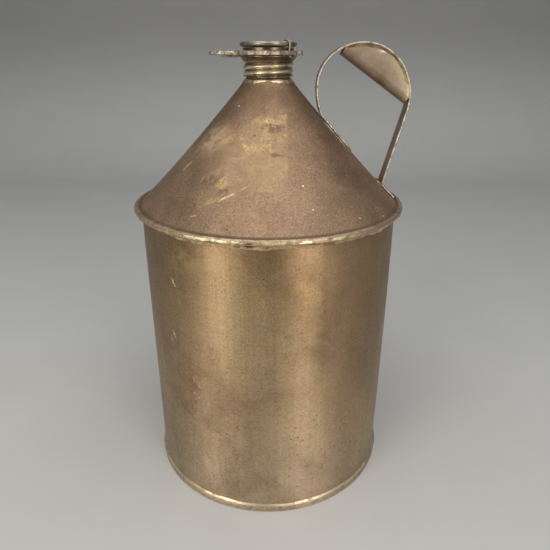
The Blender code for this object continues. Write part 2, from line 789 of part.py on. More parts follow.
def build_cap(cap_metal, seal_metal, cork):
    """The cap's pieces sit under an empty on its turning axis; the seal's pieces under another."""
    seat = Vector((0, 0, CAP_BOTTOM))
    lift_axis = bpy.data.objects.new("cap_lift_axis", None)
    turn_axis = bpy.data.objects.new("cap_turn_axis", None)
    for axis in (lift_axis, turn_axis):
        bpy.context.scene.collection.objects.link(axis)
    lift_axis.location = seat
    turn_axis.parent = lift_axis
    turning = [cap_shell(cap_metal, seat), lug_plate(cap_metal, seat), cap_top_ring(cap_metal, seat)]
    turning.append(seal_wire(seal_metal, seat))
    lifting = [cap_liner_disc(seal_metal, seat), cap_gasket(cork, seat)]
    for axis, pieces in ((turn_axis, turning), (lift_axis, lifting)):
        for piece in pieces:
            piece.parent = axis
            piece.location = (0, 0, 0)


def main():
    clear_scene()
    steel = make_material("patinated_steel", (0.19, 0.12, 0.07), 0.45, 0.85)
    solder = make_material("solder", (0.52, 0.42, 0.24), 0.4, 0.9)
    cap_metal = make_material("cap_metal", (0.22, 0.14, 0.09), 0.5, 0.85)
    seal_metal = make_material("tin", (0.45, 0.42, 0.38), 0.4, 0.9)
    cork = make_material("cork", (0.42, 0.28, 0.16), 0.9, 0.0)
    build_can(steel, solder)
    build_handle(steel, solder)
    build_cap(cap_metal, seal_metal, cork)


if __name__ == "__main__":
    main()
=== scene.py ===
"""The looks of the conical-top fuel can: detailed sheet metal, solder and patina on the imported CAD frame.

The can's axis is Z, the handle lies in the XZ plane towards +X, and lengths are in metres.
"""

import math

import bpy
import numpy as np
from mathutils import Matrix, Vector, noise


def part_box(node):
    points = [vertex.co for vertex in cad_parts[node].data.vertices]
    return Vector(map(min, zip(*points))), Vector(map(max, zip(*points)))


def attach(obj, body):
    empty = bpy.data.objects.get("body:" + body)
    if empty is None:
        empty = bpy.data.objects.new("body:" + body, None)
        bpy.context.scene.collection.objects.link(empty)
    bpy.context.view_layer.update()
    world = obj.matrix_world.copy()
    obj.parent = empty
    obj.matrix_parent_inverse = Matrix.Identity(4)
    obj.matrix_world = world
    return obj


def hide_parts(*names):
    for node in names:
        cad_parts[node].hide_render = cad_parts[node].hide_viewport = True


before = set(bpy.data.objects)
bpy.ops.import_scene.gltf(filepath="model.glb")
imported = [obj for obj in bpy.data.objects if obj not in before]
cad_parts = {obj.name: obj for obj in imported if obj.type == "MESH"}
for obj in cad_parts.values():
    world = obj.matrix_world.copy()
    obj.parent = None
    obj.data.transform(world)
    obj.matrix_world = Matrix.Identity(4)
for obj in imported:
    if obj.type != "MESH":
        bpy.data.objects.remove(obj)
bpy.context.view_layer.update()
MM = 0.001

# Driving dimensions, read from the frame where a node's box states them
WALL_LOW, WALL_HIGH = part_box("body_wall")
PAN_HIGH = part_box("base_pan")[1]
CONE_LOW, CONE_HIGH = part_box("cone_top")
NECK_LOW, NECK_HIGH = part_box("neck_tube")
CAP_LOW, CAP_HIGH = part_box("cap_shell")
PLATE_LOW, PLATE_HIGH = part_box("lug_plate")
RING_LOW, RING_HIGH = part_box("cap_top_ring")
LINER_LOW, LINER_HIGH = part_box("cap_liner_disc")
GASKET_LOW, GASKET_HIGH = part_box("cap_gasket")
STRAP_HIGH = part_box("handle_strap")[1]

SHEET = 0.8 * MM
BODY_RADIUS = PAN_HIGH.x - 1.3 * MM
PAN_RADIUS = PAN_HIGH.x
LIP_RADIUS = CONE_HIGH.x
LIP_UNDERSIDE = CONE_LOW.z + 0.8 * MM
CONE_FOOT_RADIUS = BODY_RADIUS
CONE_FOOT_Z = CONE_LOW.z + 3.7 * MM
CONE_TOP_RADIUS = 17.2 * MM
CONE_TOP_Z = CONE_HIGH.z
CONE_DISH = 2.0 * MM
SEAM_ANGLE = math.radians(90)
SEAM_HALF_WIDTH = 3.5 * MM
SEAM_RISE = 0.8 * MM
SEAM_BOTTOM = 10 * MM
SEAM_TOP = 234 * MM

THREAD_PITCH = 4.4 * MM
THREAD_PHASE_Z = 341.5 * MM
THREAD_DEPTH = 0.7 * MM
THREAD_RUN_OUT = 1.1 * MM
NECK_ROOT_RADIUS = 16.6 * MM
NECK_BORE_RADIUS = 15.4 * MM
NECK_THREAD = (339.0 * MM, 351.0 * MM)
CAP_INNER_RADIUS = 18.5 * MM
CAP_THREAD_TOP = 348.3 * MM
CAP_FLARE_RADIUS = CAP_HIGH.x
CAP_SHOULDER_Z = PLATE_LOW.z + 1.1 * MM
CAP_COLLAR_RADIUS = 19.2 * MM

TAB_ANGLE = math.radians(180)
PLATE_RADIUS = 24.2 * MM
PLATE_BOTTOM = PLATE_LOW.z + 1.4 * MM
RING_WIRE_RADIUS = (RING_HIGH.z - RING_LOW.z) / 2
RING_RADIUS = RING_HIGH.x - RING_WIRE_RADIUS
RING_Z = (RING_HIGH.z + RING_LOW.z) / 2
WIRE_ANGLE = math.radians(-45)
WIRE_RISE_RADIUS = 21.9 * MM

STRAP_HALF_WIDTH = STRAP_HIGH.y
STRAP_THICKNESS = 1.4 * MM
LOOP_CENTRE = Vector((71.1 * MM, 324.4 * MM))
LOOP_RADIUS = 36.8 * MM
LEG_LEAN = math.radians(14.5)
LEG_DISTANCE = 38.0 * MM
OUTER_BLEND_ANGLE = math.radians(30)
INNER_BLEND_ANGLE = math.radians(125)
INNER_RADIUS = 29.5 * MM
LOW_BLEND_ANGLE = math.radians(180)
LOW_RADIUS = 60.0 * MM
FOOT_BLEND_ANGLE = math.radians(197)
UPPER_FOOT_JOIN_RADIUS = 42.0 * MM
UPPER_FOOT_END_RADIUS = 63.0 * MM
LOWER_FOOT_END_RADIUS = 102.6 * MM
FOOT_BEND_RADIUS = 4.0 * MM
GRIP_LEFT = Vector((53.3 * MM, 353.4 * MM))
GRIP_RIGHT = Vector((104.6 * MM, 318.3 * MM))
GRIP_HALF_WIDTH = 6.9 * MM

ROUND = 256
SMALL_ROUND = 128


# ---------------------------------------------------------------- meshes

def add_piece(name, points, faces, wear=None, sharp=50):
    """A smooth-shaded mesh object. wear, from 0 to 1 at each point, is where edges are worn bright; on the
    cap's top ring it also marks a painted highlight.
    """
    mesh = bpy.data.meshes.new(name)
    mesh.from_pydata([tuple(p) for p in points], [], [tuple(f) for f in faces])
    if wear is not None:
        attribute = mesh.attributes.new("wear", "FLOAT", "POINT")
        attribute.data.foreach_set("value", np.asarray(wear, np.float32))
    mesh.shade_smooth()
    mesh.set_sharp_from_angle(angle=math.radians(sharp))
    obj = bpy.data.objects.new(name, mesh)
    bpy.context.scene.collection.objects.link(obj)
    return obj


def finish_pieces(body, pieces):
    """Gives each (node, object, material, slot) its material, in the node's place on the body."""
    for node, obj, material, slot in pieces:
        obj.data.materials.clear()
        obj.data.materials.append(material)
        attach(obj, body)
        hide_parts(node)


def rounded(corners, closed=True, step=4 * MM):
    """Profile points (radius, height, wear) through corners (radius, height, bend, wear), each corner
    rounded over its bend length, with no gap longer than step."""
    count = len(corners)
    points = []
    for i, (r, z, bend, wear) in enumerate(corners):
        here = np.array((r, z))
        if bend == 0 or (not closed and i in (0, count - 1)):
            points.append((r, z, wear))
            continue
        back = np.array(corners[i - 1][:2]) - here
        ahead = np.array(corners[(i + 1) % count][:2]) - here
        reach = min(bend, 0.45 * np.linalg.norm(back), 0.45 * np.linalg.norm(ahead))
        start = here + back / np.linalg.norm(back) * reach
        end = here + ahead / np.linalg.norm(ahead) * reach
        for t in np.linspace(0, 1, 5):
            spot = (1 - t) ** 2 * start + 2 * t * (1 - t) * here + t**2 * end
            points.append((*spot, wear))
    if closed:
        points.append(points[0])
    dense = []
    for a, b in zip(points, points[1:]):
        parts = max(1, math.ceil(math.dist(a[:2], b[:2]) / step))
        dense += [tuple(np.array(a) + (np.array(b) - np.array(a)) * k / parts) for k in range(parts)]
    if not closed:
        dense.append(points[-1])
    return np.array(dense)


def turned(name, profile, count=ROUND, shift=None, closed=True, twist=None):
    """Turns profile points (radius, height, wear) round Z.

    shift(angle, radius, height) gives how far each point moves outwards and upwards. An open profile
    starts and ends on the axis and closes there at two poles.
    """
    ring = profile if closed else profile[1:-1]
    angles = np.linspace(0, 2 * math.pi, count, endpoint=False)
    angle, r = np.meshgrid(angles, ring[:, 0], indexing="ij")
    z = np.broadcast_to(ring[:, 1], r.shape)
    wear = np.broadcast_to(ring[:, 2], r.shape)
    if twist is not None:
        crest = np.cos(2 * math.pi * (z - THREAD_PHASE_Z) / THREAD_PITCH - angle)
        r = r + twist * crest
        wear = wear * (0.5 + 0.5 * crest)
    if shift is not None:
        out, up = shift(angle, r, z)
        r, z = r + out, z + up
    grid = np.stack([r * np.cos(angle), r * np.sin(angle), z], -1)
    points = grid.reshape(-1, 3).tolist()
    wear = wear.reshape(-1).tolist()
    rows = len(ring)
    faces = []
    for i in range(count):
        here = i * rows
        there = (i + 1) % count * rows
        for j in range(rows if closed else rows - 1):
            k = (j + 1) % rows
            faces.append((here + j, there + j, there + k, here + k))
    if not closed:
        for pole, j in ((profile[0], 0), (profile[-1], rows - 1)):
            points.append((0, 0, pole[1]))
            wear.append(pole[2])
            for i in range(count):
                edge = (i * rows + j, (i + 1) % count * rows + j)
                faces.append((len(points) - 1, *(edge[::-1] if j == 0 else edge)))
    return add_piece(name, points, faces, wear)


def swept(name, sections, wear=None, sharp=50):
    """A closed body through matching rings of points, with both ends capped."""
    size = len(sections[0])
    points = [point for section in sections for point in section]
    faces = []
    for i in range(len(sections) - 1):
        for j in range(size):
            k = (j + 1) % size
            faces.append((i * size + j, i * size + k, (i + 1) * size + k, (i + 1) * size + j))
    faces.append(tuple(reversed(range(size))))
    faces.append(tuple(range(len(points) - size, len(points))))
    return add_piece(name, points, faces, wear, sharp)


def roughen(obj, amounts, seed):
    """Moves each vertex along its normal by noise. amounts are (grain, height) pairs in millimetres."""
    mesh = obj.data
    start = Vector((seed * 3.1, seed * 1.7, seed * 2.3))
    normals = [v.normal.copy() for v in mesh.vertices]
    for vertex, normal in zip(mesh.vertices, normals):
        push = sum(height * noise.noise(vertex.co / (grain * MM) + start) for grain, height in amounts)
        vertex.co += normal * push * MM
    mesh.update()
    return obj


def baked_modifiers(obj):
    """Replaces the object's mesh with its evaluated one and clears its modifiers."""
    graph = bpy.context.evaluated_depsgraph_get()
    mesh = bpy.data.meshes.new_from_object(obj.evaluated_get(graph))
    obj.modifiers.clear()
    obj.data = mesh
    return obj


def smooth_step(value, low, high):
    t = np.clip((value - low) / (high - low), 0, 1)
    return t * t * (3 - 2 * t)


def angle_gap(angle, centre):
    return (angle - centre + math.pi) % (2 * math.pi) - math.pi


def cone_z(radius):
    t = (CONE_FOOT_RADIUS - radius) / (CONE_FOOT_RADIUS - CONE_TOP_RADIUS)
    return CONE_FOOT_Z + (CONE_TOP_Z - CONE_FOOT_Z) * t - 4 * CONE_DISH * t * (1 - t)


def cone_normal(radius):
    step = 0.1 * MM
    slope = (cone_z(radius + step) - cone_z(radius - step)) / (2 * step)
    return Vector((-slope, 1)).normalized()


def above_cone(radius, height):
    return Vector((radius, cone_z(radius))) + cone_normal(radius) * height


# ---------------------------------------------------------------- can

def waves(angle, *parts):
    """Unevenness round the can, as a sum of (height in mm, number of waves, phase)."""
    return MM * sum(height * np.sin(count * angle + phase) for height, count, phase in parts)


def bell(distance, size):
    return np.exp(-((distance / size) ** 2))


def dent(angle, z, at_angle, at_z, size, depth):
    across = angle_gap(angle, math.radians(at_angle)) * BODY_RADIUS
    return -depth * bell(np.hypot(across, z - at_z), size)


def seam_step(angle, radius, z):
    """Outward rise of the lock seam's folded strip."""
    across = np.abs(angle_gap(angle, SEAM_ANGLE)) * radius
    along = smooth_step(z, SEAM_BOTTOM, SEAM_BOTTOM + 2 * MM) * smooth_step(-z, -SEAM_TOP, 2 * MM - SEAM_TOP)
    fold = smooth_step(-across, -SEAM_HALF_WIDTH - 0.5 * MM, -SEAM_HALF_WIDTH + 0.3 * MM)
    groove = bell(across - SEAM_HALF_WIDTH - 1.2 * MM, 0.8 * MM)
    return along * (SEAM_RISE * fold - 0.2 * MM * groove)


# Angle in degrees, height, size and depth of each knock in the wall
WALL_KNOCKS = ((-117.6, 0.0417, 0.0042, 0.0008), (-106, 0.095, 0.022, 0.0004), (-58, 0.140, 0.030, 0.0004),
               (-138, 0.170, 0.020, 0.0005), (42, 0.120, 0.026, 0.0010), (142, 0.060, 0.020, 0.0009),
               (-8, 0.030, 0.012, 0.0005))


def body_shift(angle, r, z):
    """Hand-rolled sheet: long soft waves, a few knocks, and the seam on the outer face only."""
    held = smooth_step(z, 0, 30 * MM) * smooth_step(-z, -(WALL_HIGH.z - 4 * MM), -(WALL_HIGH.z - 34 * MM))
    out = held * waves(angle, (0.2, 3, 12 * z + 0.6), (0.1, 7, -18 * z), (0.06, 13, 21 * z + 2))
    for knock in WALL_KNOCKS:
        out = out + dent(angle, z, *knock)
    outer_face = r > BODY_RADIUS - SHEET / 2
    return out + np.where(outer_face, seam_step(angle, r, z), 0), 0 * z


def body_profile():
    bottom = WALL_LOW.z
    top = WALL_HIGH.z
    inner = BODY_RADIUS - SHEET
    flange = WALL_HIGH.x
    return rounded([
        (inner, bottom, 0.2 * MM, 0.3),
        (BODY_RADIUS, bottom, 0.2 * MM, 0.3),
        (BODY_RADIUS, LIP_UNDERSIDE, 1.0 * MM, 0),
        (flange, LIP_UNDERSIDE, 0.2 * MM, 0),
        (flange, top, 0.2 * MM, 0),
        (inner, top, 0.6 * MM, 0),
    ])


def pan_shift(angle, r, z):
    edge = smooth_step(z, 2 * MM, PAN_HIGH.z)
    bulge = 0.5 * MM * bell(angle_gap(angle, math.radians(-12)) * PAN_RADIUS, 9 * MM)
    out = edge * (waves(angle, (0.16, 4, 2), (0.08, 11, 1)) + bulge)
    return out, edge * waves(angle, (0.22, 5, 1), (0.12, 17, 0))


def pan_profile():
    inner = PAN_RADIUS - 0.7 * MM
    top = PAN_HIGH.z
    bead = 0.5 * MM
    return rounded([
        (0, 0, 0, 0),
        (70 * MM, 0, 1 * MM, 0),
        (73 * MM, bead, 1 * MM, 0.2),
        (76 * MM, 0, 1 * MM, 0),
        (PAN_RADIUS - 0.8 * MM, 0, 0.5 * MM, 0.6),
        (PAN_RADIUS, 0.9 * MM, 0.6 * MM, 0.7),
        (PAN_RADIUS, top, 0.25 * MM, 1),
        (inner, top, 0.25 * MM, 1),
        (inner, SHEET + bead, 0.8 * MM, 0),
        (0, SHEET + bead, 0, 0),
    ], closed=False)


def cone_shift(angle, r, z):
    slope = smooth_step(r, CONE_TOP_RADIUS + 2 * MM, 45 * MM) * smooth_step(-r, -CONE_FOOT_RADIUS, -88 * MM)
    wave = waves(angle, (0.16, 3, 30 * z), (0.12, 6, 1 - 44 * z), (0.06, 15, 1.7))
    across = angle_gap(angle, math.radians(-106)) * r + 0.4 * (z - 0.27)
    crease = -0.9 * MM * bell(across, 6 * MM) * bell(z - 0.268, 14 * MM)
    hollow = -1.0 * MM * bell(angle_gap(angle, math.radians(72)) * r, 24 * MM) * bell(z - 0.285, 20 * MM)
    past_seam = angle_gap(angle, SEAM_ANGLE) * r
    lap = 0.5 * MM * smooth_step(past_seam, -0.2 * MM, 0.6 * MM) * smooth_step(-past_seam, -9 * MM, -6 * MM)
    lip = smooth_step(r, 105 * MM, LIP_RADIUS)
    knock = 0.7 * MM * bell(angle_gap(angle, math.radians(-8)) * r, 5 * MM)
    out = lip * (waves(angle, (0.24, 5, 2), (0.14, 14, 0), (0.1, 31, 1)) - knock)
    return out, slope * (wave + crease + hollow + lap) + lip * (waves(angle, (0.2, 4, 0)) + 0.6 * knock)


def cone_profile():
    inner_lip = LIP_RADIUS - 0.7 * MM
    flange_bottom = LIP_UNDERSIDE + 1.0 * MM
    top = CONE_FOOT_Z
    radii = np.linspace(CONE_FOOT_RADIUS, CONE_TOP_RADIUS, 25)
    outside = [(r, cone_z(r), 0.5 * MM, 0) for r in radii[1:-1]]
    inside = [(r, cone_z(r) - 1.15 * MM, 0, 0) for r in radii[-2:0:-1]]
    return rounded([
        (inner_lip, CONE_LOW.z, 0.2 * MM, 0.5),
        (LIP_RADIUS, CONE_LOW.z, 0.25 * MM, 0.6),
        (LIP_RADIUS, top - 0.8 * MM, 0.5 * MM, 0.9),
        (LIP_RADIUS - 0.9 * MM, top, 0.6 * MM, 1),
        (106.0 * MM, top - 0.05 * MM, 0.5 * MM, 0.15),
        (105.3 * MM, top - 0.5 * MM, 0.3 * MM, 0),
        (104.6 * MM, top - 0.1 * MM, 0.3 * MM, 0.1),
        (CONE_FOOT_RADIUS, cone_z(CONE_FOOT_RADIUS) + 0.1 * MM, 0.6 * MM, 0),
        *outside,
        (CONE_TOP_RADIUS, CONE_TOP_Z, 0.3 * MM, 0.5),
        (CONE_TOP_RADIUS - 0.3 * MM, CONE_TOP_Z - 1.15 * MM, 0.2 * MM, 0),
        *inside,
        (BODY_RADIUS - SHEET, flange_bottom, 0.6 * MM, 0),
        (inner_lip, flange_bottom, 0.2 * MM, 0),
    ])


def shoulder_solder():
    """The thick fillet under the lip: it covers the lip's rim and runs down to the wall."""
    top = CONE_FOOT_Z - 1.2 * MM
    rim = LIP_RADIUS + 0.1 * MM
    profile = rounded([
        (BODY_RADIUS + 0.06 * MM, LIP_UNDERSIDE - 0.1 * MM, 0, 0),
        (BODY_RADIUS - 0.15 * MM, LIP_UNDERSIDE - 5.4 * MM, 0.3 * MM, 0),
        (BODY_RADIUS + 0.5 * MM, LIP_UNDERSIDE - 5.1 * MM, 0.5 * MM, 0.4),
        (BODY_RADIUS + 2.6 * MM, LIP_UNDERSIDE - 2.6 * MM, 1.0 * MM, 0.6),
        (rim + 0.2 * MM, LIP_UNDERSIDE - 0.4 * MM, 0.8 * MM, 0.9),
        (rim + 0.15 * MM, top, 0.5 * MM, 1),
        (LIP_RADIUS - 0.3 * MM, top, 0.2 * MM, 0.5),
        (LIP_RADIUS - 0.3 * MM, LIP_UNDERSIDE - 0.1 * MM, 0, 0),
    ], step=0.8 * MM)

    def shift(angle, r, z):
        low = smooth_step(-z, -LIP_UNDERSIDE, -(LIP_UNDERSIDE - 5 * MM))
        drip = waves(angle, (0.8, 5, 1.3), (0.5, 13, 0.4), (0.35, 29, 0), (0.3, 61, 1.1))
        thin = smooth_step(-np.cos(angle - math.radians(-90)), -0.85, 0.1) * 1.6 * MM
        return 0 * r, low * (0.75 * drip + thin)

    return roughen(turned("shoulder_solder_run", profile, 512, shift), ((5, 0.3), (1.6, 0.2)), 3)


def base_solder():
    foot = PAN_HIGH.z - 0.6 * MM
    profile = rounded([
        (BODY_RADIUS - 0.1 * MM, foot, 0, 0),
        (PAN_RADIUS - 0.75 * MM, foot, 0.1 * MM, 0.2),
        (PAN_RADIUS - 0.1 * MM, PAN_HIGH.z + 0.1 * MM, 0.4 * MM, 1),
        (PAN_RADIUS - 0.4 * MM, PAN_HIGH.z + 0.9 * MM, 0.6 * MM, 1),
        (BODY_RADIUS + 0.15 * MM, PAN_HIGH.z + 2.1 * MM, 0.5 * MM, 0.7),
        (BODY_RADIUS - 0.15 * MM, PAN_HIGH.z + 2.4 * MM, 0.1 * MM, 0.2),
    ], step=0.7 * MM)

    def shift(angle, r, z):
        high = smooth_step(z, PAN_HIGH.z, PAN_HIGH.z + 3.5 * MM)
        return 0 * r, high * waves(angle, (0.35, 6, 1), (0.22, 19, 0))

    return roughen(turned("base_solder_run", profile, 384, shift), ((6, 0.16), (2, 0.08)), 5)


def neck_solder():
    toe = 19.6 * MM
    profile = rounded([
        (NECK_ROOT_RADIUS, CONE_TOP_Z - 0.5 * MM, 0, 0),
        (toe, cone_z(toe) - 0.2 * MM, 0.3 * MM, 0.5),
        (toe - 0.4 * MM, cone_z(toe - 0.4 * MM) + 0.5 * MM, 0.5 * MM, 0.8),
        (NECK_ROOT_RADIUS + 1.0 * MM, CONE_TOP_Z + 0.1 * MM, 0.8 * MM, 1),
        (NECK_ROOT_RADIUS + 0.1 * MM, CONE_TOP_Z + 0.9 * MM, 0.2 * MM, 0.3),
    ], step=0.5 * MM)

    def shift(angle, r, z):
        low = smooth_step(r, NECK_ROOT_RADIUS, toe)
        spread = low * waves(angle, (0.7, 2, 1.4), (0.4, 5, 0), (0.2, 9, 1))
        return spread, -1.15 * spread

    return roughen(turned("neck_solder_run", profile, SMALL_ROUND, shift), ((3, 0.3), (1.1, 0.16)), 8)


def thread_rise(z, bottom, top):
    return np.clip(np.minimum(z - bottom, top - z) / THREAD_RUN_OUT, 0, 1) * THREAD_DEPTH


def neck_tube():
    bottom, top = NECK_THREAD
    heights = np.linspace(bottom, top, 66)
    rises = thread_rise(heights, bottom, top)
    thread = np.stack([NECK_ROOT_RADIUS + rises, heights, rises / THREAD_DEPTH], -1)
    lip = rounded([
        (NECK_ROOT_RADIUS, top + 0.1 * MM, 0, 0),
        (NECK_ROOT_RADIUS, NECK_HIGH.z, 0.4 * MM, 1),
        (NECK_BORE_RADIUS, NECK_HIGH.z, 0.4 * MM, 1),
        (NECK_BORE_RADIUS, NECK_LOW.z, 0.2 * MM, 0.1),
        (NECK_ROOT_RADIUS, NECK_LOW.z, 0.2 * MM, 0.1),
        (NECK_ROOT_RADIUS, bottom - 0.1 * MM, 0, 0),
    ], closed=False, step=1.5 * MM)
    profile = np.concatenate([thread, lip])
    twist = np.concatenate([rises, 0 * lip[:, 0]])
    return turned("neck_tube_threaded", profile, SMALL_ROUND, twist=twist)


# ---------------------------------------------------------------- cap

def cap_shell():
    heights = np.linspace(CAP_LOW.z + 0.3 * MM, CAP_THREAD_TOP, 60)
    rises = thread_rise(heights, CAP_LOW.z, CAP_THREAD_TOP)
    worn = rises / THREAD_DEPTH
    outside = np.stack([CAP_INNER_RADIUS + SHEET - rises, heights, worn], -1)
    inside = np.stack([CAP_INNER_RADIUS - rises, heights, 0 * worn], -1)[::-1]
    bore = CAP_COLLAR_RADIUS - 0.75 * MM
    disc_top = LINER_HIGH.z + 1.1 * MM
    flare_z = CAP_SHOULDER_Z - 0.8 * MM
    upper = rounded([
        (CAP_INNER_RADIUS + SHEET, CAP_THREAD_TOP + 0.15 * MM, 0, 0),
        (CAP_FLARE_RADIUS - 0.5 * MM, flare_z - 0.4 * MM, 1.2 * MM, 0),
        (CAP_FLARE_RADIUS, flare_z, 0.4 * MM, 0.5),
        (CAP_FLARE_RADIUS, CAP_SHOULDER_Z, 0.3 * MM, 0.4),
        (CAP_COLLAR_RADIUS, CAP_SHOULDER_Z, 0.2 * MM, 0),
        (CAP_COLLAR_RADIUS, CAP_HIGH.z, 0.2 * MM, 0.05),
        (bore, CAP_HIGH.z, 0.2 * MM, 0.3),
        (bore, disc_top, 0.3 * MM, 0),
        (14 * MM, disc_top, 0.8 * MM, 0.3),
        (12.8 * MM, disc_top - 0.3 * MM, 0.8 * MM, 0),
        (0, disc_top - 0.3 * MM, 0, 0),
    ], closed=False, step=1.2 * MM)
    under = rounded([
        (0, disc_top - 0.8 * MM, 0, 0),
        (bore, disc_top - 0.8 * MM, 0.2 * MM, 0),
        (bore, CAP_THREAD_TOP + 0.6 * MM, 0.4 * MM, 0),
        (CAP_INNER_RADIUS, CAP_THREAD_TOP + 0.15 * MM, 0, 0),
    ], closed=False, step=1.5 * MM)
    hem = np.array([
        (CAP_INNER_RADIUS + 0.02 * MM, CAP_LOW.z + 0.1 * MM, 0.5),
        (CAP_INNER_RADIUS + SHEET / 2, CAP_LOW.z, 1),
        (CAP_INNER_RADIUS + SHEET - 0.02 * MM, CAP_LOW.z + 0.1 * MM, 0.8),
    ])
    profile = np.concatenate([under, inside, hem, outside, upper])
    none = [0.0]
    twist = np.concatenate([none * len(under), rises[::-1], none * len(hem), rises, none * len(upper)])
    return turned("cap_shell_rolled", profile, SMALL_ROUND, closed=False, twist=twist[1:-1])


def arc_points(centre, radius, start, end, count):
    """Points of an arc, each with its direction away from the centre."""
    found = []
    for i in range(count + 1):
        angle = start + (end - start) * i / count
        outward = Vector((math.cos(angle), math.sin(angle)))
        found.append((centre + outward * radius, outward))
    return found


def ear_outline(angle, root_width, end_width, reach):
    root = math.asin(root_width / 2 / PLATE_RADIUS)
    radius = end_width / 2
    centre = Vector((reach - radius, 0))
    side = Vector((PLATE_RADIUS * math.cos(root), -PLATE_RADIUS * math.sin(root)))
    outline = [side]
    outline += [point for point, _ in arc_points(centre, radius, -math.pi / 2, math.pi / 2, 14)]
    outline.append(Vector((side.x, -side.y)))
    turn = Matrix.Rotation(angle, 2)
    return [turn @ point for point in outline]


def plate_outline():
    tab = ear_outline(TAB_ANGLE, 17 * MM, 11 * MM, 45 * MM)
    lug = ear_outline(TAB_ANGLE - math.pi, 17 * MM, 12 * MM, 26.2 * MM)
    outline = []
    for ear, following in ((lug, tab), (tab, lug)):
        start = math.atan2(ear[-1].y, ear[-1].x)
        end = math.atan2(following[0].y, following[0].x)
        end += 2 * math.pi if end < start else 0
        rim = arc_points(Vector((0, 0)), PLATE_RADIUS, start, end, 40)
        outline += ear + [point for point, _ in rim[1:-1]]
    return outline


def prism(name, outline, bottom, top):
    low = [(point.x, point.y, bottom) for point in outline]
    high = [(point.x, point.y, top) for point in outline]
    return swept(name, [low, high], sharp=30)


def combine(obj, tool, operation):
    """Adds the tool to the object or cuts it away, and removes the tool."""
    boolean = obj.modifiers.new(tool.name, "BOOLEAN")
    boolean.operation = operation
    boolean.object = tool
    baked_modifiers(obj)
    bpy.data.objects.remove(tool, do_unlink=True)


def drill(obj, centre, radius, sides):
    """Cuts a round hole right through the lug plate."""
    rim = [point for point, _ in arc_points(centre, radius, 0, 2 * math.pi, sides)[:-1]]
    combine(obj, prism("drill", rim, PLATE_BOTTOM - 9 * MM, PLATE_BOTTOM + 20 * MM), "DIFFERENCE")


def lug_plate():
    """A rough forged plate: softened edges, a thinner tab end and a pitted skin."""
    obj = prism("lug_plate_forged", plate_outline(), PLATE_BOTTOM, PLATE_HIGH.z)
    turn = Matrix.Rotation(TAB_ANGLE, 2)
    corners = ((22.0, -4.5), (30.0, -4.2), (35.5, -2.5), (35.5, 2.5), (30.0, 4.2), (22.0, 4.5))
    rib = [turn @ Vector((x * MM, y * MM)) for x, y in corners]
    combine(obj, prism("tab_rib", rib, PLATE_LOW.z, PLATE_BOTTOM + 1 * MM), "UNION")
    drill(obj, Vector((0, 0)), CAP_COLLAR_RADIUS + 0.25 * MM, 96)
    remesh = obj.modifiers.new("even", "REMESH")
    remesh.mode = "VOXEL"
    remesh.voxel_size = 0.42 * MM
    soften = obj.modifiers.new("soften", "SMOOTH")
    soften.iterations = 7
    soften.factor = 0.6
    baked_modifiers(obj)
    middle = (PLATE_BOTTOM + PLATE_HIGH.z) / 2
    for vertex in obj.data.vertices:
        reach = math.hypot(vertex.co.x, vertex.co.y)
        thin = 0.22 * smooth_step(reach, 32 * MM, 44 * MM)
        vertex.co.z += (middle - vertex.co.z) * thin
    roughen(obj, ((6, 0.28), (1.6, 0.16), (0.7, 0.07)), 11)
    drill(obj, direction(WIRE_ANGLE) * WIRE_RISE_RADIUS, 0.75 * MM, 24)
    obj.data.shade_smooth()
    return obj


def cap_top_ring():
    # The wear value rises to the top of the wire, so the top is painted bright: worn metal and painted
    # highlight both, with the material's painted shade on the underside.
    profile = [(*point, max(0.0, outward.y) ** 2) for point, outward in
               arc_points(Vector((RING_RADIUS, RING_Z)), RING_WIRE_RADIUS, 0, 2 * math.pi, 28)[:-1]]
    return roughen(turned("cap_top_ring_rolled", np.array(profile), 160), ((7, 0.12), (1.8, 0.05)), 14)


def cap_liner():
    return turned("cap_liner_pressed", rounded([
        (0, LINER_LOW.z, 0, 0),
        (LINER_HIGH.x, LINER_LOW.z, 0.2 * MM, 0.6),
        (LINER_HIGH.x, LINER_HIGH.z, 0.2 * MM, 0.6),
        (0, LINER_HIGH.z, 0, 0),
    ], closed=False, step=1.5 * MM), SMALL_ROUND, closed=False)


def cap_gasket():
    inner = 12.5 * MM
    profile = rounded([
        (inner, GASKET_LOW.z, 0.3 * MM, 0),
        (GASKET_HIGH.x, GASKET_LOW.z, 0.3 * MM, 0),
        (GASKET_HIGH.x, GASKET_HIGH.z, 0.3 * MM, 0),
        (inner, GASKET_HIGH.z, 0.3 * MM, 0),
    ], step=0.7 * MM)
    return roughen(turned("cap_gasket_leather", profile, 160), ((2.2, 0.06), (0.8, 0.03)), 16)


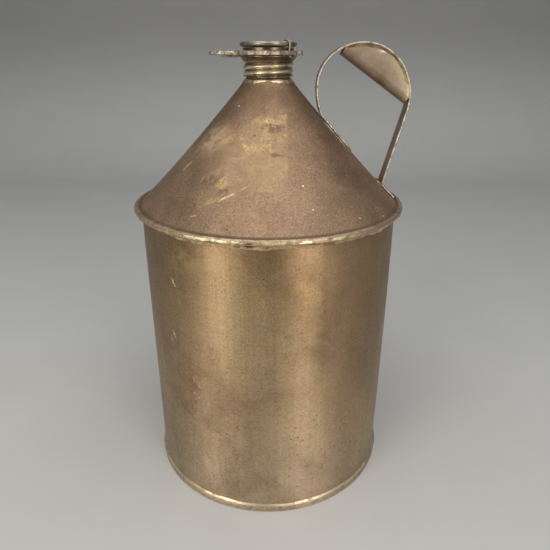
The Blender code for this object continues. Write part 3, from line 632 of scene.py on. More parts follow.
def seal_wire():
    """Two strands of thin wire: up through the lug plate, then wound right round the top ring."""
    curve = bpy.data.curves.new("seal_wire_twisted", "CURVE")
    curve.dimensions = "3D"
    curve.bevel_depth = 0.45 * MM
    curve.bevel_resolution = 4
    curve.use_fill_caps = True
    hook = RING_WIRE_RADIUS + 1.05 * MM
    for spread, tail in ((math.radians(-2.6), 0.6 * MM), (math.radians(2.8), 1.4 * MM)):
        route = [
            (WIRE_RISE_RADIUS + 0.5 * MM + tail, PLATE_BOTTOM - 1.3 * MM, 0.3),
            (WIRE_RISE_RADIUS + 0.3 * MM, PLATE_BOTTOM - 0.6 * MM, 0.1),
            (WIRE_RISE_RADIUS, PLATE_BOTTOM + 0.8 * MM, 0.1),
            (WIRE_RISE_RADIUS, PLATE_HIGH.z, 0.1),
        ]
        over = arc_points(Vector((RING_RADIUS, RING_Z)), hook, math.radians(-12), math.radians(320), 24)
        route += [(point.x, point.y, 0.3 + 2.2 * i / 24) for i, (point, _) in enumerate(over)]
        spline = curve.splines.new("NURBS")
        spline.points.add(len(route) - 1)
        for (radius, z, share), point in zip(route, spline.points):
            angle = WIRE_ANGLE + spread * share
            point.co = (radius * math.cos(angle), radius * math.sin(angle), z, 1)
        spline.order_u = 4
        spline.use_endpoint_u = True
        spline.resolution_u = 6
    obj = bpy.data.objects.new("seal_wire_twisted", curve)
    bpy.context.scene.collection.objects.link(obj)
    return obj


# ---------------------------------------------------------------- handle

def meeting_point(normal_a, reach_a, normal_b, reach_b):
    """The point at distance reach_a along normal_a and reach_b along normal_b."""
    area = normal_a.x * normal_b.y - normal_a.y * normal_b.x
    x = (reach_a * normal_b.y - reach_b * normal_a.y) / area
    y = (normal_a.x * reach_b - normal_b.x * reach_a) / area
    return Vector((x, y))


def lower_bend(lift):
    foot_normal = cone_normal(LOWER_FOOT_END_RADIUS)
    foot_point = above_cone(LOWER_FOOT_END_RADIUS, lift)
    leg_normal = Vector((math.cos(LEG_LEAN), -math.sin(LEG_LEAN)))
    leg_point = LOOP_CENTRE + leg_normal * LEG_DISTANCE
    foot_reach = foot_point.dot(foot_normal) + FOOT_BEND_RADIUS
    leg_reach = leg_point.dot(leg_normal) + FOOT_BEND_RADIUS
    centre = meeting_point(foot_normal, foot_reach, leg_normal, leg_reach)
    start = math.atan2(foot_normal.y, foot_normal.x)
    bend = arc_points(centre, -FOOT_BEND_RADIUS, start, -LEG_LEAN, 10)
    return [(foot_point, foot_normal), *bend]


def direction(angle):
    return Vector((math.cos(angle), math.sin(angle)))


def loop_arcs():
    """The loop's arcs, each tangent to the next: (centre, radius, start angle, end angle)."""
    turn = 1 - math.cos(OUTER_BLEND_ANGLE + LEG_LEAN)
    outer_radius = LOOP_RADIUS + (LEG_DISTANCE - LOOP_RADIUS) / turn
    outer_centre = LOOP_CENTRE + direction(OUTER_BLEND_ANGLE) * (LOOP_RADIUS - outer_radius)
    inner_centre = LOOP_CENTRE + direction(INNER_BLEND_ANGLE) * (LOOP_RADIUS - INNER_RADIUS)
    low_centre = inner_centre + direction(LOW_BLEND_ANGLE) * (INNER_RADIUS - LOW_RADIUS)
    return [
        (outer_centre, outer_radius, -LEG_LEAN, OUTER_BLEND_ANGLE),
        (LOOP_CENTRE, LOOP_RADIUS, OUTER_BLEND_ANGLE, INNER_BLEND_ANGLE),
        (inner_centre, INNER_RADIUS, INNER_BLEND_ANGLE, LOW_BLEND_ANGLE),
        (low_centre, LOW_RADIUS, LOW_BLEND_ANGLE, FOOT_BLEND_ANGLE),
    ]


def loop_points():
    """(point, normal) pairs along the middle of the strap, from the top of its leg to its last bend."""
    points = []
    for (centre, radius, start, end), count in zip(loop_arcs(), (26, 44, 26, 12)):
        points += arc_points(centre, radius, start, end, count)[1 if points else 0:]
    return points


def upper_bend(lift):
    """The loop's last small bend, which runs smoothly onto the cone, and the upper foot."""
    before, before_radius, _, start = loop_arcs()[-1]
    normal = cone_normal(UPPER_FOOT_JOIN_RADIUS)
    join = above_cone(UPPER_FOOT_JOIN_RADIUS, lift)
    facing = normal.dot(direction(start))
    radius = (normal.dot(before - join) + before_radius * facing) / (1 + facing)
    centre = before + direction(start) * (before_radius - radius)
    end_angle = math.atan2(normal.y, normal.x) + math.pi
    bend = arc_points(centre, radius, start, end_angle, 10)
    first = bend[-1][0].x
    foot = []
    for i in range(1, 11):
        x = first + (UPPER_FOOT_END_RADIUS - first) * i / 10
        foot.append((above_cone(x, lift), -cone_normal(x)))
    return bend[1:] + foot


def strap_route():
    """(point, normal) pairs along the middle of the strap, from the lower foot to the upper foot."""
    lift = 0.3 * MM + STRAP_THICKNESS / 2
    low = lower_bend(lift)
    loop = loop_points()
    leg = [(low[-1][0].lerp(loop[0][0], i / 12), loop[0][1]) for i in range(1, 12)]
    return low + leg + loop + upper_bend(lift)


def inner_face(start, end):
    """(point, normal) pairs on the loop's inner face, between two angles of its normal."""
    found = []
    for point, normal in loop_points():
        if start <= math.atan2(normal.y, normal.x) <= end:
            found.append((point - normal * (STRAP_THICKNESS / 2 + 0.1 * MM), normal))
    return found


def depth_to_strap(bottom, towards_strap):
    """How far the loop's inner face is from a point of the grip's chord."""
    across = Vector((towards_strap.y, -towards_strap.x))
    inside = [point for point, _ in inner_face(-math.pi, math.pi)]
    for a, b in zip(inside, inside[1:]):
        ahead = (a - bottom).dot(across)
        behind = (b - bottom).dot(across)
        if ahead * behind <= 0 and ahead != behind:
            return (a.lerp(b, ahead / (ahead - behind)) - bottom).dot(towards_strap)
    return 0.0


def handle_strap():
    """Strap steel with its long edges folded over into narrow rounded hems."""
    hem = 0.75 * MM
    web = 0.42 * MM
    flat = STRAP_HALF_WIDTH - 3.0 * MM
    centre = STRAP_HALF_WIDTH - hem
    outline = []
    for side in (1, -1):
        outline += [(side * y, -side * web, 0) for y in (-flat, -flat / 3, flat / 3, flat)]
        for i in range(9):
            angle = math.pi * (i / 8 - side / 2)
            outline.append((side * centre + hem * math.cos(angle), hem * math.sin(angle), 1))
    sections = []
    wear = []
    for i, (point, normal) in enumerate(strap_route()):
        wobble = 0.12 * MM * math.sin(0.31 * i) + 0.07 * MM * math.sin(0.83 * i + 1)
        section = []
        for y, rise, worn in outline:
            spot = point + normal * rise
            section.append((spot.x, y + wobble, spot.y))
            wear.append(worn)
        sections.append(section)
    return swept("handle_strap_hemmed", sections, wear, sharp=60)


def grip_section(bottom, towards_strap, depth, points):
    section = []
    for inset, way in ((0, 1), (SHEET, -1)):
        half = GRIP_HALF_WIDTH - inset
        round_depth = min(half, 0.8 * depth) - inset * 0.4
        outline = [(-half, depth)]
        for i in range(points + 1):
            angle = math.pi * i / points
            outline.append((-half * math.cos(angle), inset + round_depth * (1 - math.sin(angle))))
        outline.append((half, depth))
        for y, rise in outline[::way]:
            spot = bottom + towards_strap * rise
            section.append((spot.x, y, spot.y))
    return section


def handle_grip():
    """The trough that fills the hand, with soft hammered unevenness along it."""
    along = (GRIP_RIGHT - GRIP_LEFT).normalized()
    length = (GRIP_RIGHT - GRIP_LEFT).length
    towards_strap = Vector((-along.y, along.x))
    sections = []
    count = 60
    for i in range(count + 1):
        bottom = GRIP_LEFT + along * length * (0.015 + 0.985 * i / count)
        depth = max(depth_to_strap(bottom, towards_strap), 1.0 * MM)
        sections.append(grip_section(bottom, towards_strap, depth, 20))
    return roughen(swept("handle_grip_trough", sections, sharp=60), ((16, 0.16), (5, 0.06)), 21)


def grip_solder(name, side):
    """An uneven fillet along one wall of the grip, against the strap."""
    outline = ((-0.2, 0), (0.5, 0), (0.8, -0.15), (0.6, -0.6), (0.3, -1.2), (0.0, -1.9), (-0.25, -1.9))
    sections = []
    for i, (corner, outward) in enumerate(inner_face(math.radians(0), math.radians(112))):
        swell = 1 + 0.2 * math.sin(0.21 * i + side) + 0.1 * math.sin(0.67 * i)
        section = []
        for away, drop in outline:
            spot = corner + outward * (0.2 + drop * swell) * MM
            section.append((spot.x, side * (GRIP_HALF_WIDTH + away * MM), spot.y))
        sections.append(section if side > 0 else section[::-1])
    return roughen(swept(name, sections), ((3, 0.1), (1.2, 0.05)), 23 + side)


def bead_on_cone(name, route, width, height, seed):
    """A lumpy run of solder that lies on the cone along a smooth route of (x, y) points."""
    sections = []
    outline = []
    for i in range(13):
        angle = math.pi * i / 12
        outline.append((-math.cos(angle), math.sin(angle) ** 0.8))
    last = len(route) - 1
    for i, spot in enumerate(route):
        along = (route[min(i + 1, last)] - route[max(i - 1, 0)]).normalized()
        across = Vector((-along.y, along.x))
        taper = max(0.12, min(1, 3.0 * i / last, 3.0 * (last - i) / last))
        swell = taper * (1 + 0.2 * math.sin(0.33 * i + seed) + 0.12 * math.sin(0.14 * i))
        section = []
        for side, lift in outline:
            place = spot + across * side * width / 2 * swell
            radius = place.length
            raised = above_cone(radius, lift * height * swell - 0.25 * MM)
            section.append((*(place * raised.x / radius), raised.y))
        sections.append(section)
    return roughen(swept(name, sections), ((5, 0.16), (1.9, 0.05)), seed)


def smooth_route(points, count):
    """Points along a soft curve through a few (x, y) points."""
    spots = [Vector(point) for point in points]
    route = []
    for i in range(count + 1):
        place = i / count * (len(spots) - 1)
        k = min(int(place), len(spots) - 2)
        t = place - k
        before, a, b, after = (spots[max(0, min(len(spots) - 1, k + d))] for d in (-1, 0, 1, 2))
        curve = 2 * a + (b - before) * t + (2 * before - 5 * a + 4 * b - after) * t * t
        curve += (3 * a - before - 3 * b + after) * t**3
        route.append(curve / 2)
    return route


def upper_foot_solder():
    side = STRAP_HALF_WIDTH + 0.6 * MM
    end = UPPER_FOOT_END_RADIUS + 0.8 * MM
    start = UPPER_FOOT_JOIN_RADIUS - 1 * MM
    corner = 2.4 * MM
    points = [(start, -side), (start + 8 * MM, -side), (end - 6 * MM, -side), (end - 0.6 * MM, corner - side)]
    points += [(end, 0)] + [(x, -y) for x, y in reversed(points)]
    return bead_on_cone("upper_foot_solder_run", smooth_route(points, 110), 4.4 * MM, 1.4 * MM, 31)


def lower_foot_solder():
    radius = 91.0 * MM
    points = [(radius * math.cos(a), radius * math.sin(a)) for a in np.radians((-6.5, -4, 0, 4, 6.5))]
    return bead_on_cone("lower_foot_solder_run", smooth_route(points, 50), 5.0 * MM, 2.0 * MM, 35)


def cone_seam_solder():
    radii = np.linspace(99 * MM, 25 * MM, 8)
    points = [(r * math.cos(SEAM_ANGLE), r * math.sin(SEAM_ANGLE)) for r in radii]
    return bead_on_cone("cone_seam_solder_run", smooth_route(points, 150), 4.2 * MM, 1.2 * MM, 37)


def body_seam_solder():
    low = SEAM_BOTTOM + 2 * MM
    high = SEAM_TOP - 2 * MM
    angle = SEAM_ANGLE - (SEAM_HALF_WIDTH + 1.1 * MM) / BODY_RADIUS
    outward = Vector((math.cos(angle), math.sin(angle), 0))
    across = Vector((-outward.y, outward.x, 0))
    sections = []
    for i in range(181):
        z = low + (high - low) * i / 180
        swell = 1 + 0.3 * math.sin(0.4 * i) + 0.2 * math.sin(1.1 * i + 1)
        section = []
        for side, rise in ((-1.4, -0.4), (-1.1, 0.05), (-0.4, 0.35), (0.4, 0.6), (1.1, 0.7), (1.4, -0.4)):
            spot = outward * (BODY_RADIUS + rise * swell * MM) + across * side * MM * swell
            section.append((spot.x, spot.y, z))
        sections.append(section)
    return roughen(swept("body_seam_solder_run", sections), ((4, 0.12),), 39)


# ---------------------------------------------------------------- materials

class Look:
    """One node material: a colour built up in coats, and short calls for the nodes that finishes share."""

    def __init__(self, name, metallic, anisotropic=0.0):
        self.material = bpy.data.materials.new(name)
        self.material.use_nodes = True
        self.tree = self.material.node_tree
        self.surface = self.tree.nodes["Principled BSDF"].inputs
        self.colour = None
        self.put(self.surface["Metallic"], metallic)
        if anisotropic:
            self.put(self.surface["Anisotropic"], anisotropic)
            self.put(self.surface["Anisotropic Rotation"], 0.25)
            round_axis = self.node("Tangent", "Tangent", direction_type="RADIAL", axis="Z")
            self.put(self.surface["Tangent"], round_axis)
        self.place = self.node("TexCoord", "Object")

    def put(self, socket, value):
        if isinstance(value, bpy.types.NodeSocket):
            self.tree.links.new(value, socket)
        elif socket.type == "RGBA":
            grey = isinstance(value, (int, float))
            socket.default_value = (value, value, value, 1.0) if grey else (*value, 1.0)
        else:
            socket.default_value = value

    def node(self, kind, output, inputs=(), **settings):
        """Adds a node with these settings and inputs, and returns one of its outputs."""
        node = self.tree.nodes.new("ShaderNode" + kind)
        for name, value in settings.items():
            setattr(node, name, value)
        for socket, value in dict(inputs).items():
            self.put(node.inputs[socket], value)
        return node.outputs[output]

    def grain(self, scale, detail=4.0, stretch=(1, 1, 1), rough=0.55, distortion=0.0, shift=0.0):
        move = (shift, shift * 0.7, shift * 1.3)
        place = self.node("Mapping", "Vector", {"Vector": self.place, "Location": move, "Scale": stretch})
        inputs = {"Vector": place, "Scale": scale, "Detail": detail}
        return self.node("TexNoise", "Fac", {**inputs, "Roughness": rough, "Distortion": distortion})

    def cells(self, scale):
        return self.node("TexVoronoi", "Distance", {"Vector": self.place, "Scale": scale})

    def ramp(self, value, low, high):
        """0 below low, 1 above high, smooth between; low may be the larger one, which turns it round."""
        inputs = {"Value": value, "From Min": min(low, high), "From Max": max(low, high)}
        inputs |= {"To Min": float(low > high), "To Max": float(low < high)}
        return self.node("MapRange", "Result", inputs, interpolation_type="SMOOTHSTEP")

    def patchy(self, low, high, *grain, **more):
        """Noise cut into patches between two of its levels."""
        return self.ramp(self.grain(*grain, **more), low, high)

    def math(self, operation, a, b):
        return self.node("Math", 0, {0: a, 1: b}, operation=operation)

    def vector(self, operation, a, b=(0, 0, 0)):
        output = "Value" if operation in ("LENGTH", "DOT_PRODUCT") else "Vector"
        second = "Scale" if operation == "SCALE" else 1
        return self.node("VectorMath", output, {0: a, second: b}, operation=operation)

    def times(self, *values):
        total = values[0]
        for value in values[1:]:
            total = self.math("MULTIPLY", total, value)
        return total

    def plus(self, value, *factors):
        return self.math("ADD", value, self.times(*factors))

    def highest(self, *masks):
        top = masks[0]
        for mask in masks[1:]:
            top = self.math("MAXIMUM", top, mask)
        return top

    def blend(self, share, a, b, mode="MIX"):
        return self.node("Mix", 2, {0: share, 6: a, 7: b}, data_type="RGBA", blend_type=mode)

    def coat(self, colour, *shares, mode="MIX"):
        """Lays a colour over what is there, where the product of the shares allows it."""
        self.colour = self.blend(self.times(*shares), self.colour, colour, mode)

    def mottle(self, mask, dark, light, share):
        """Darkens and lightens the colour by a mask. Grey shades are plain numbers."""
        self.coat(self.blend(mask, dark, light), share, mode="MULTIPLY")

    def wear(self):
        return self.node("Attribute", "Fac", attribute_name="wear")

    def height(self):
        return self.node("SeparateXYZ", "Z", {0: self.place})

    def near(self, centre, size, edge=0.5):
        """1 within size of a point and 0 a little further out. size may differ along each axis."""
        sizes = size if isinstance(size, tuple) else (size, size, size)
        offset = self.vector("DIVIDE", self.vector("SUBTRACT", self.place, centre), sizes)
        return self.ramp(self.vector("LENGTH", offset), 1 + edge, 1 - edge)

    def stroke(self, start, end, half_width):
        """1 along a straight stroke between two points, and 0 a little to either side; it marks scratches,
        and one painted highlight.
        """
        run = Vector(end) - Vector(start)
        offset = self.vector("SUBTRACT", self.place, start)
        share = self.times(self.vector("DOT_PRODUCT", offset, run), 1 / run.length_squared)
        share = self.math("MINIMUM", self.highest(share, 0.0), 1.0)
        across = self.vector("SUBTRACT", offset, self.vector("SCALE", run, share))
        return self.ramp(self.vector("LENGTH", across), half_width * 1.6, half_width * 0.5)

    def bump(self, value, distance, strength, onto=None):
        inputs = {"Height": value, "Distance": distance, "Strength": strength}
        if onto is not None:
            inputs["Normal"] = onto
        return self.node("Bump", "Normal", inputs)

    def finish(self, roughness, normal=None):
        self.put(self.surface["Base Color"], self.colour)
        self.put(self.surface["Roughness"], roughness)
        if normal is not None:
            self.put(self.surface["Normal"], normal)
        return self.material


def spot_on(radius, angle, z):
    """A point at a radius, an angle in degrees and a height."""
    return (radius * math.cos(math.radians(angle)), radius * math.sin(math.radians(angle)), z)


def on_wall(angle, z):
    return spot_on(BODY_RADIUS, angle, z)


def on_cone(angle, radius):
    """A point of the cone at an angle in degrees and a radius in millimetres."""
    return spot_on(radius * MM, angle, cone_z(radius * MM))


def tinplate(name, dark, light, rosy, gold, pitting, anisotropic=0.0):
    """Old tinplate gone brown: soft clouds of colour, fine drawn streaks, specks and rust pits.

    Returns the look, the mask of its specks and pits, and its clouds, blotches, streaks and fine grain.
    """
    look = Look(name, 0.9, anisotropic)
    clouds = look.grain(11, 5, rough=0.6, distortion=0.4)
    blotch = look.grain(46, 5, shift=2)
    streak = look.grain(330, 3, stretch=(1, 1, 0.035), shift=5)
    wide_streak = look.patchy(0.35, 0.65, 60, 3, stretch=(1, 1, 0.06), shift=7)
    fine = look.grain(1500, 3, shift=3)
    look.colour = look.blend(look.ramp(clouds, 0.36, 0.64), dark, light)
    look.coat(rosy, look.ramp(blotch, 0.5, 0.68), 0.55)
    look.coat(gold, look.patchy(0.54, 0.7, 26, 5, shift=11), 0.6)
    look.mottle(look.ramp(streak, 0.3, 0.7), 0.84, (1.12, 1.11, 1.09), 0.4)
    look.mottle(wide_streak, (0.9, 0.9, 0.89), (1.06, 1.05, 1.04), 0.6)
    look.mottle(look.ramp(fine, 0.32, 0.68), (0.76, 0.75, 0.74), (1.2, 1.19, 1.17), 0.9)
    look.mottle(look.patchy(0.34, 0.66, 600, 3, shift=29), (0.86, 0.85, 0.84), 1.1, 0.8)
    specked = look.patchy(0.6 - 0.13 * pitting, 0.72 - 0.1 * pitting, 55, 4, shift=17)
    specks = look.times(look.ramp(look.cells(420), 0.22, 0.1), specked)
    pitted = look.patchy(0.62 - 0.1 * pitting, 0.7 - 0.06 * pitting, 45, 3, shift=23)
    pits = look.times(look.ramp(look.cells(190), 0.16, 0.08), pitted)
    return look, look.times(look.highest(specks, pits), 0.85), (clouds, blotch, streak, fine)


def finish_tinplate(look, marks, grains, roughness):
    clouds, blotch, streak, fine = grains
    look.coat((0.035, 0.018, 0.01), marks, 0.8)
    worn = look.times(look.wear(), look.patchy(0.25, 0.65, 240, 4, shift=31))
    look.coat((0.6, 0.48, 0.35), worn, 0.8)
    rough = look.plus(roughness, look.ramp(blotch, 0.3, 0.7), 0.12)
    rough = look.plus(rough, look.ramp(clouds, 0.35, 0.65), 0.08)
    rough = look.plus(look.plus(rough, marks, 0.3), worn, -0.08)
    normal = look.bump(fine, 0.05 * MM, 0.35)
    normal = look.bump(streak, 0.05 * MM, 0.4, normal)
    normal = look.bump(look.math("SUBTRACT", 1.0, marks), 0.12 * MM, 0.6, normal)
    return look.finish(rough, normal)


def body_material():
    look, marks, grains = tinplate("patinated_tinplate_body", (0.31, 0.21, 0.12), (0.45, 0.33, 0.2),
                                   (0.43, 0.3, 0.21), (0.48, 0.36, 0.175), 1.0, anisotropic=0.7)
    height = look.height()
    # Painted shade: the wall's colour is darkened towards its top.
    look.coat((0.8, 0.77, 0.71), look.ramp(height, 50 * MM, 215 * MM), mode="MULTIPLY")
    # Painted reflection: a cooler, less yellow tone towards the bottom of the wall, for the pale floor's
    # sheen.
    look.coat((1.0, 1.03, 1.12), look.ramp(height, 110 * MM, 20 * MM), mode="MULTIPLY")
    ruddy = look.near(on_wall(-48, 0.17), (0.03, 0.03, 0.09), 0.8)
    look.coat((0.38, 0.235, 0.135), ruddy, look.ramp(grains[0], 0.3, 0.6), 0.5)
    rust = look.times(look.near(on_wall(-125, 0.121), (0.012, 0.012, 0.026), 0.6),
                      look.patchy(0.42, 0.58, 150, 5, shift=41))
    look.coat((0.3, 0.13, 0.07), rust, 0.45)
    look.coat((0.7, 0.52, 0.3), rust, look.patchy(0.6, 0.66, 420, 3, shift=42), 0.8)
    stain = look.near(on_wall(-125, 0.218), (0.012, 0.012, 0.009), 0.6)
    look.coat((0.54, 0.405, 0.19), stain, look.patchy(0.38, 0.56, 70, 5, rough=0.7, shift=43), 0.5)
    nicks = ((-132.7, 0.2016, 2.0, 0.196), (-131.6, 0.2005, -0.5, 0.198), (-135.2, 0.156, 2.0, 0.151),
             (-134.0, 0.1545, -0.7, 0.1525), (-136.5, 0.1482, 0.3, 0.1468))
    for angle, high, turn, low in nicks:
        look.coat((0.95, 0.85, 0.6), look.stroke(on_wall(angle, high), on_wall(angle + turn, low), 0.4 * MM))
    pitted = look.times(look.ramp(height, 170 * MM, 70 * MM), look.patchy(0.46, 0.56, 28, 3, shift=71))
    for angle, z in ((-103, 0.066), (-77.5, 0.07)):
        pitted = look.highest(pitted, look.near(on_wall(angle, z), (0.009, 0.01, 0.026), 0.7))
    holes = look.times(look.ramp(look.cells(200), 0.19, 0.1), pitted)
    marks = look.highest(marks, look.times(holes, 0.9))
    smears = look.patchy(0.5, 0.64, 34, 5, stretch=(1, 1, 2.6), rough=0.7, distortion=0.8, shift=73)
    look.coat((0.3, 0.2, 0.105), smears, look.ramp(height, 60 * MM, 150 * MM), 0.4)
    dirt = look.times(look.ramp(height, 30 * MM, 4 * MM), look.patchy(0.4, 0.62, 90, 5, shift=47))
    look.coat((0.27, 0.19, 0.12), dirt, 0.35)
    return finish_tinplate(look, marks, grains, 0.36)


def add_label_ghost(look):
    """Gold flakes and dark torn spots where a label once was on the front of the cone."""
    patch = label_mask(look)
    flakes = look.times(look.patchy(0.44, 0.6, 75, 7, rough=0.75, distortion=1.0, shift=53),
                        look.patchy(0.36, 0.58, 330, 5, stretch=(1, 1, 0.6), rough=0.8, shift=54))
    strong = look.highest(look.near(spot_on(45 * MM, -82, 0.303), (0.013, 0.02, 0.017), 0.6),
                          look.near(spot_on(54 * MM, -114, 0.294), (0.018, 0.014, 0.007), 0.7),
                          look.near(spot_on(79 * MM, -121, 0.267), (0.012, 0.016, 0.016), 0.7))
    look.coat((0.37, 0.26, 0.155), patch, 0.4)
    look.coat((0.62, 0.43, 0.19), patch, flakes, look.plus(0.25, strong, 0.7))
    torn = look.patchy(0.58, 0.64, 85, 6, rough=0.75, distortion=1.4, shift=59)
    look.coat((0.2, 0.12, 0.1), patch, torn, strong, 0.6)
    for angle, radius, z, size in ((-84.2, 59.6, 0.2881, (0.006, 0.004, 0.0016)),
                                   (-122.3, 75.4, 0.2714, (0.006, 0.006, 0.003)),
                                   (-111.7, 80.4, 0.2663, (0.004, 0.004, 0.0036)),
                                   (-85.1, 44.7, 0.3045, (0.008, 0.006, 0.003))):
        scuff = look.near(spot_on(radius * MM, angle, z), size, 0.7)
        look.coat((0.16, 0.09, 0.08), scuff, look.patchy(0.42, 0.56, 260, 5, rough=0.7, shift=60), 0.75)


def cone_material():
    look, marks, grains = tinplate("patinated_tinplate_cone", (0.29, 0.195, 0.125), (0.355, 0.245, 0.162),
                                   (0.36, 0.24, 0.17), (0.36, 0.25, 0.145), 0.35)
    look.coat((0.58, 0.43, 0.29), look.patchy(0.58, 0.7, 900, 2, rough=0.7, shift=49), 0.55)
    height = look.height()
    # Painted shade: the cone's upper part, towards the neck, is darkened in blotches and then overall.
    shaded = look.ramp(height, 296 * MM, 330 * MM)
    look.coat((0.17, 0.105, 0.062), shaded, look.ramp(grains[1], 0.3, 0.6), 0.6)
    look.coat((0.6, 0.56, 0.5), look.ramp(height, 285 * MM, 312 * MM), 0.3, mode="MULTIPLY")
    add_label_ghost(look)
    haze = look.near(spot_on(53 * MM, -139.5, 0.295), (0.013, 0.011, 0.012), 0.8)
    look.coat((0.88, 0.63, 0.42), haze, look.patchy(0.3, 0.6, 130, 5, rough=0.7, shift=61), 0.8)
    orange = look.near(spot_on(59.6 * MM, -140.5, 0.288), (0.002, 0.002, 0.0018), 0.8)
    look.coat((0.62, 0.33, 0.17), orange, 0.5)
    scratches = (((-111.5, 85.2), (-106.6, 81.5), 0.7), ((-107.5, 82.2), (-100.7, 77.4), 0.4),
                 ((-112.5, 86.5), (-110.0, 83.4), 0.4), ((-149.2, 73.2), (-146.9, 68.3), 1.2),
                 ((-123.3, 96.8), (-120.7, 95.4), 0.5))
    for start, end, half_width in scratches:
        scratch = look.stroke(on_cone(*start), on_cone(*end), half_width * MM)
        look.coat((0.85, 0.68, 0.44), scratch, look.ramp(grains[3], 0.3, 0.58), 0.65)
    for angle, radius, z, size in ((-130.6, 32.8, 0.3177, (0.0006, 0.0006, 0.0006)),
                                   (-71.4, 77.1, 0.2695, (0.0006, 0.0006, 0.0006)),
                                   (-69.8, 90.4, 0.2559, (0.0005, 0.0005, 0.0005)),
                                   (-34.2, 102.7, 0.2437, (0.0008, 0.0007, 0.0004)),
                                   (-48.9, 99.1, 0.2472, (0.0007, 0.0006, 0.0004))):
        look.coat((0.95, 0.88, 0.65), look.near(spot_on(radius * MM, angle, z), size, 0.6))
    groove = look.near((0, 0, CONE_FOOT_Z - 0.2 * MM), (1.0, 1.0, 0.0005), 0.5)
    look.coat((0.14, 0.09, 0.055), groove, look.ramp(look.wear(), 0.3, 0.1), 0.4)
    return finish_tinplate(look, marks, grains, 0.44)


def label_mask(look):
    """The label's place: a straight right edge, frayed left and lower edges and a ragged top."""
    right = look.node("SeparateXYZ", "X", {0: look.place})
    front = look.ramp(look.node("SeparateXYZ", "Y", {0: look.place}), -0.01, -0.014)
    height = look.height()
    ragged = look.times(look.math("SUBTRACT", look.grain(55, 6, rough=0.7, shift=67), 0.5), 0.03)
    frayed = look.times(look.math("SUBTRACT", look.grain(90, 5, rough=0.7, shift=69), 0.5), 0.006)
    right_side = look.ramp(right, 0.0144, 0.0136)
    left_side = look.ramp(look.math("ADD", right, frayed), -0.049, -0.047)
    drop = look.math("MINIMUM", look.math("ADD", right, 0.015), 0.0)
    lower = look.ramp(look.plus(look.math("ADD", height, frayed), drop, -0.36), 0.266, 0.2675)
    slope = look.math("MINIMUM", right, 0.0)
    upper = look.ramp(look.plus(look.math("ADD", height, ragged), slope, -0.3), 0.313, 0.308)
    return look.times(front, right_side, left_side, lower, upper)


def metal_material(name, dark, light, roughness, bright=(0.62, 0.55, 0.44), metallic=0.85, scale=1.0,
                   hollow_grime_and_shade=0.0):
    """Plain worked steel: clouded patina, drawn marks and bright worn edges.

    The last argument is how strongly grime and painted shade darken the places that nothing rubs.
    """
    look = Look(name, metallic)
    clouds = look.grain(60 * scale, 5, rough=0.6, shift=3)
    fine = look.grain(900 * scale, 4, shift=9)
    look.colour = look.blend(look.ramp(clouds, 0.36, 0.64), dark, light)
    look.mottle(look.ramp(fine, 0.3, 0.7), 0.8, 1.15, 0.7)
    grime = look.patchy(0.56, 0.68, 150 * scale, 6, rough=0.7, shift=13)
    look.coat((0.05, 0.035, 0.02), grime, 0.6)
    # Grime and painted shade together: places with little wear, such as the valleys of a thread and the cap's
    # flare under the lug plate, are darkened.
    look.coat((0.06, 0.043, 0.028), look.ramp(look.wear(), 0.55, 0.1), hollow_grime_and_shade)
    worn = look.times(look.wear(), look.patchy(0.3, 0.62, 260, 4, shift=19))
    look.coat(bright, worn, 0.8)
    rough = look.plus(roughness, look.ramp(clouds, 0.3, 0.7), 0.14)
    rough = look.plus(look.plus(rough, grime, 0.2), worn, -0.1)
    normal = look.bump(fine, 0.06 * MM, 0.4)
    return look.finish(rough, look.bump(clouds, 0.2 * MM, 0.3, normal))


def solder_material():
    """Aged solder: pale gold where its raised lumps are worn, dull and dirty in its low spots, with a rusty
    break at the front, painted shade on all but the lip's front run, and a painted highlight on the upper
    foot.
    """
    look = Look("aged_solder", 0.8)
    lumps = look.grain(130, 6, rough=0.65, distortion=0.5)
    fine = look.grain(800, 4, shift=5)
    look.colour = look.blend(look.ramp(lumps, 0.38, 0.58), (0.36, 0.25, 0.125), (0.86, 0.73, 0.47))
    look.mottle(look.ramp(fine, 0.3, 0.7), (0.74, 0.73, 0.7), 1.16, 0.9)
    dirt = look.patchy(0.57, 0.64, 75, 6, rough=0.75, distortion=0.8, shift=9)
    tears = look.patchy(0.58, 0.62, 190, 6, stretch=(1, 1, 1.8), rough=0.8, distortion=1.5, shift=10)
    look.coat((0.13, 0.075, 0.035), look.highest(dirt, tears), 0.75)
    # Painted shade: all the solder is darkened except the front of the lip's run, which keeps its bright
    # colour; the rim's reddish brown also goes only on the rest.
    front = look.near((-0.008, -0.1, LIP_UNDERSIDE), (0.07, 0.045, 0.03), 0.2)
    back = look.math("SUBTRACT", 1.0, front)
    look.coat((0.25, 0.18, 0.1), back, 0.45)
    on_rim = look.ramp(look.height(), LIP_UNDERSIDE - 0.7 * MM, LIP_UNDERSIDE + 0.2 * MM)
    look.coat((0.38, 0.25, 0.165), back, on_rim, 0.85)
    rust = look.near(spot_on(BODY_RADIUS + 3 * MM, -96.3, LIP_UNDERSIDE - 0.5 * MM), 0.004, 0.5)
    look.coat((0.1, 0.035, 0.02), rust, look.ramp(lumps, 0.3, 0.5), 0.9)
    # Painted highlight: a pale stripe along the side of the upper foot's solder, made less metallic so that
    # it stays bright under any light.
    foot = look.stroke((40 * MM, -8.6 * MM, cone_z(40 * MM)), (50 * MM, -8.6 * MM, cone_z(50 * MM)), 2.6 * MM)
    look.coat((0.95, 0.86, 0.7), foot, 0.85)
    look.put(look.surface["Metallic"], look.plus(0.8, foot, -0.6))
    rough = look.plus(look.plus(0.32, look.ramp(lumps, 0.6, 0.36), 0.25), dirt, 0.2)
    normal = look.bump(fine, 0.1 * MM, 0.5)
    return look.finish(rough, look.bump(lumps, 0.35 * MM, 0.4, normal))


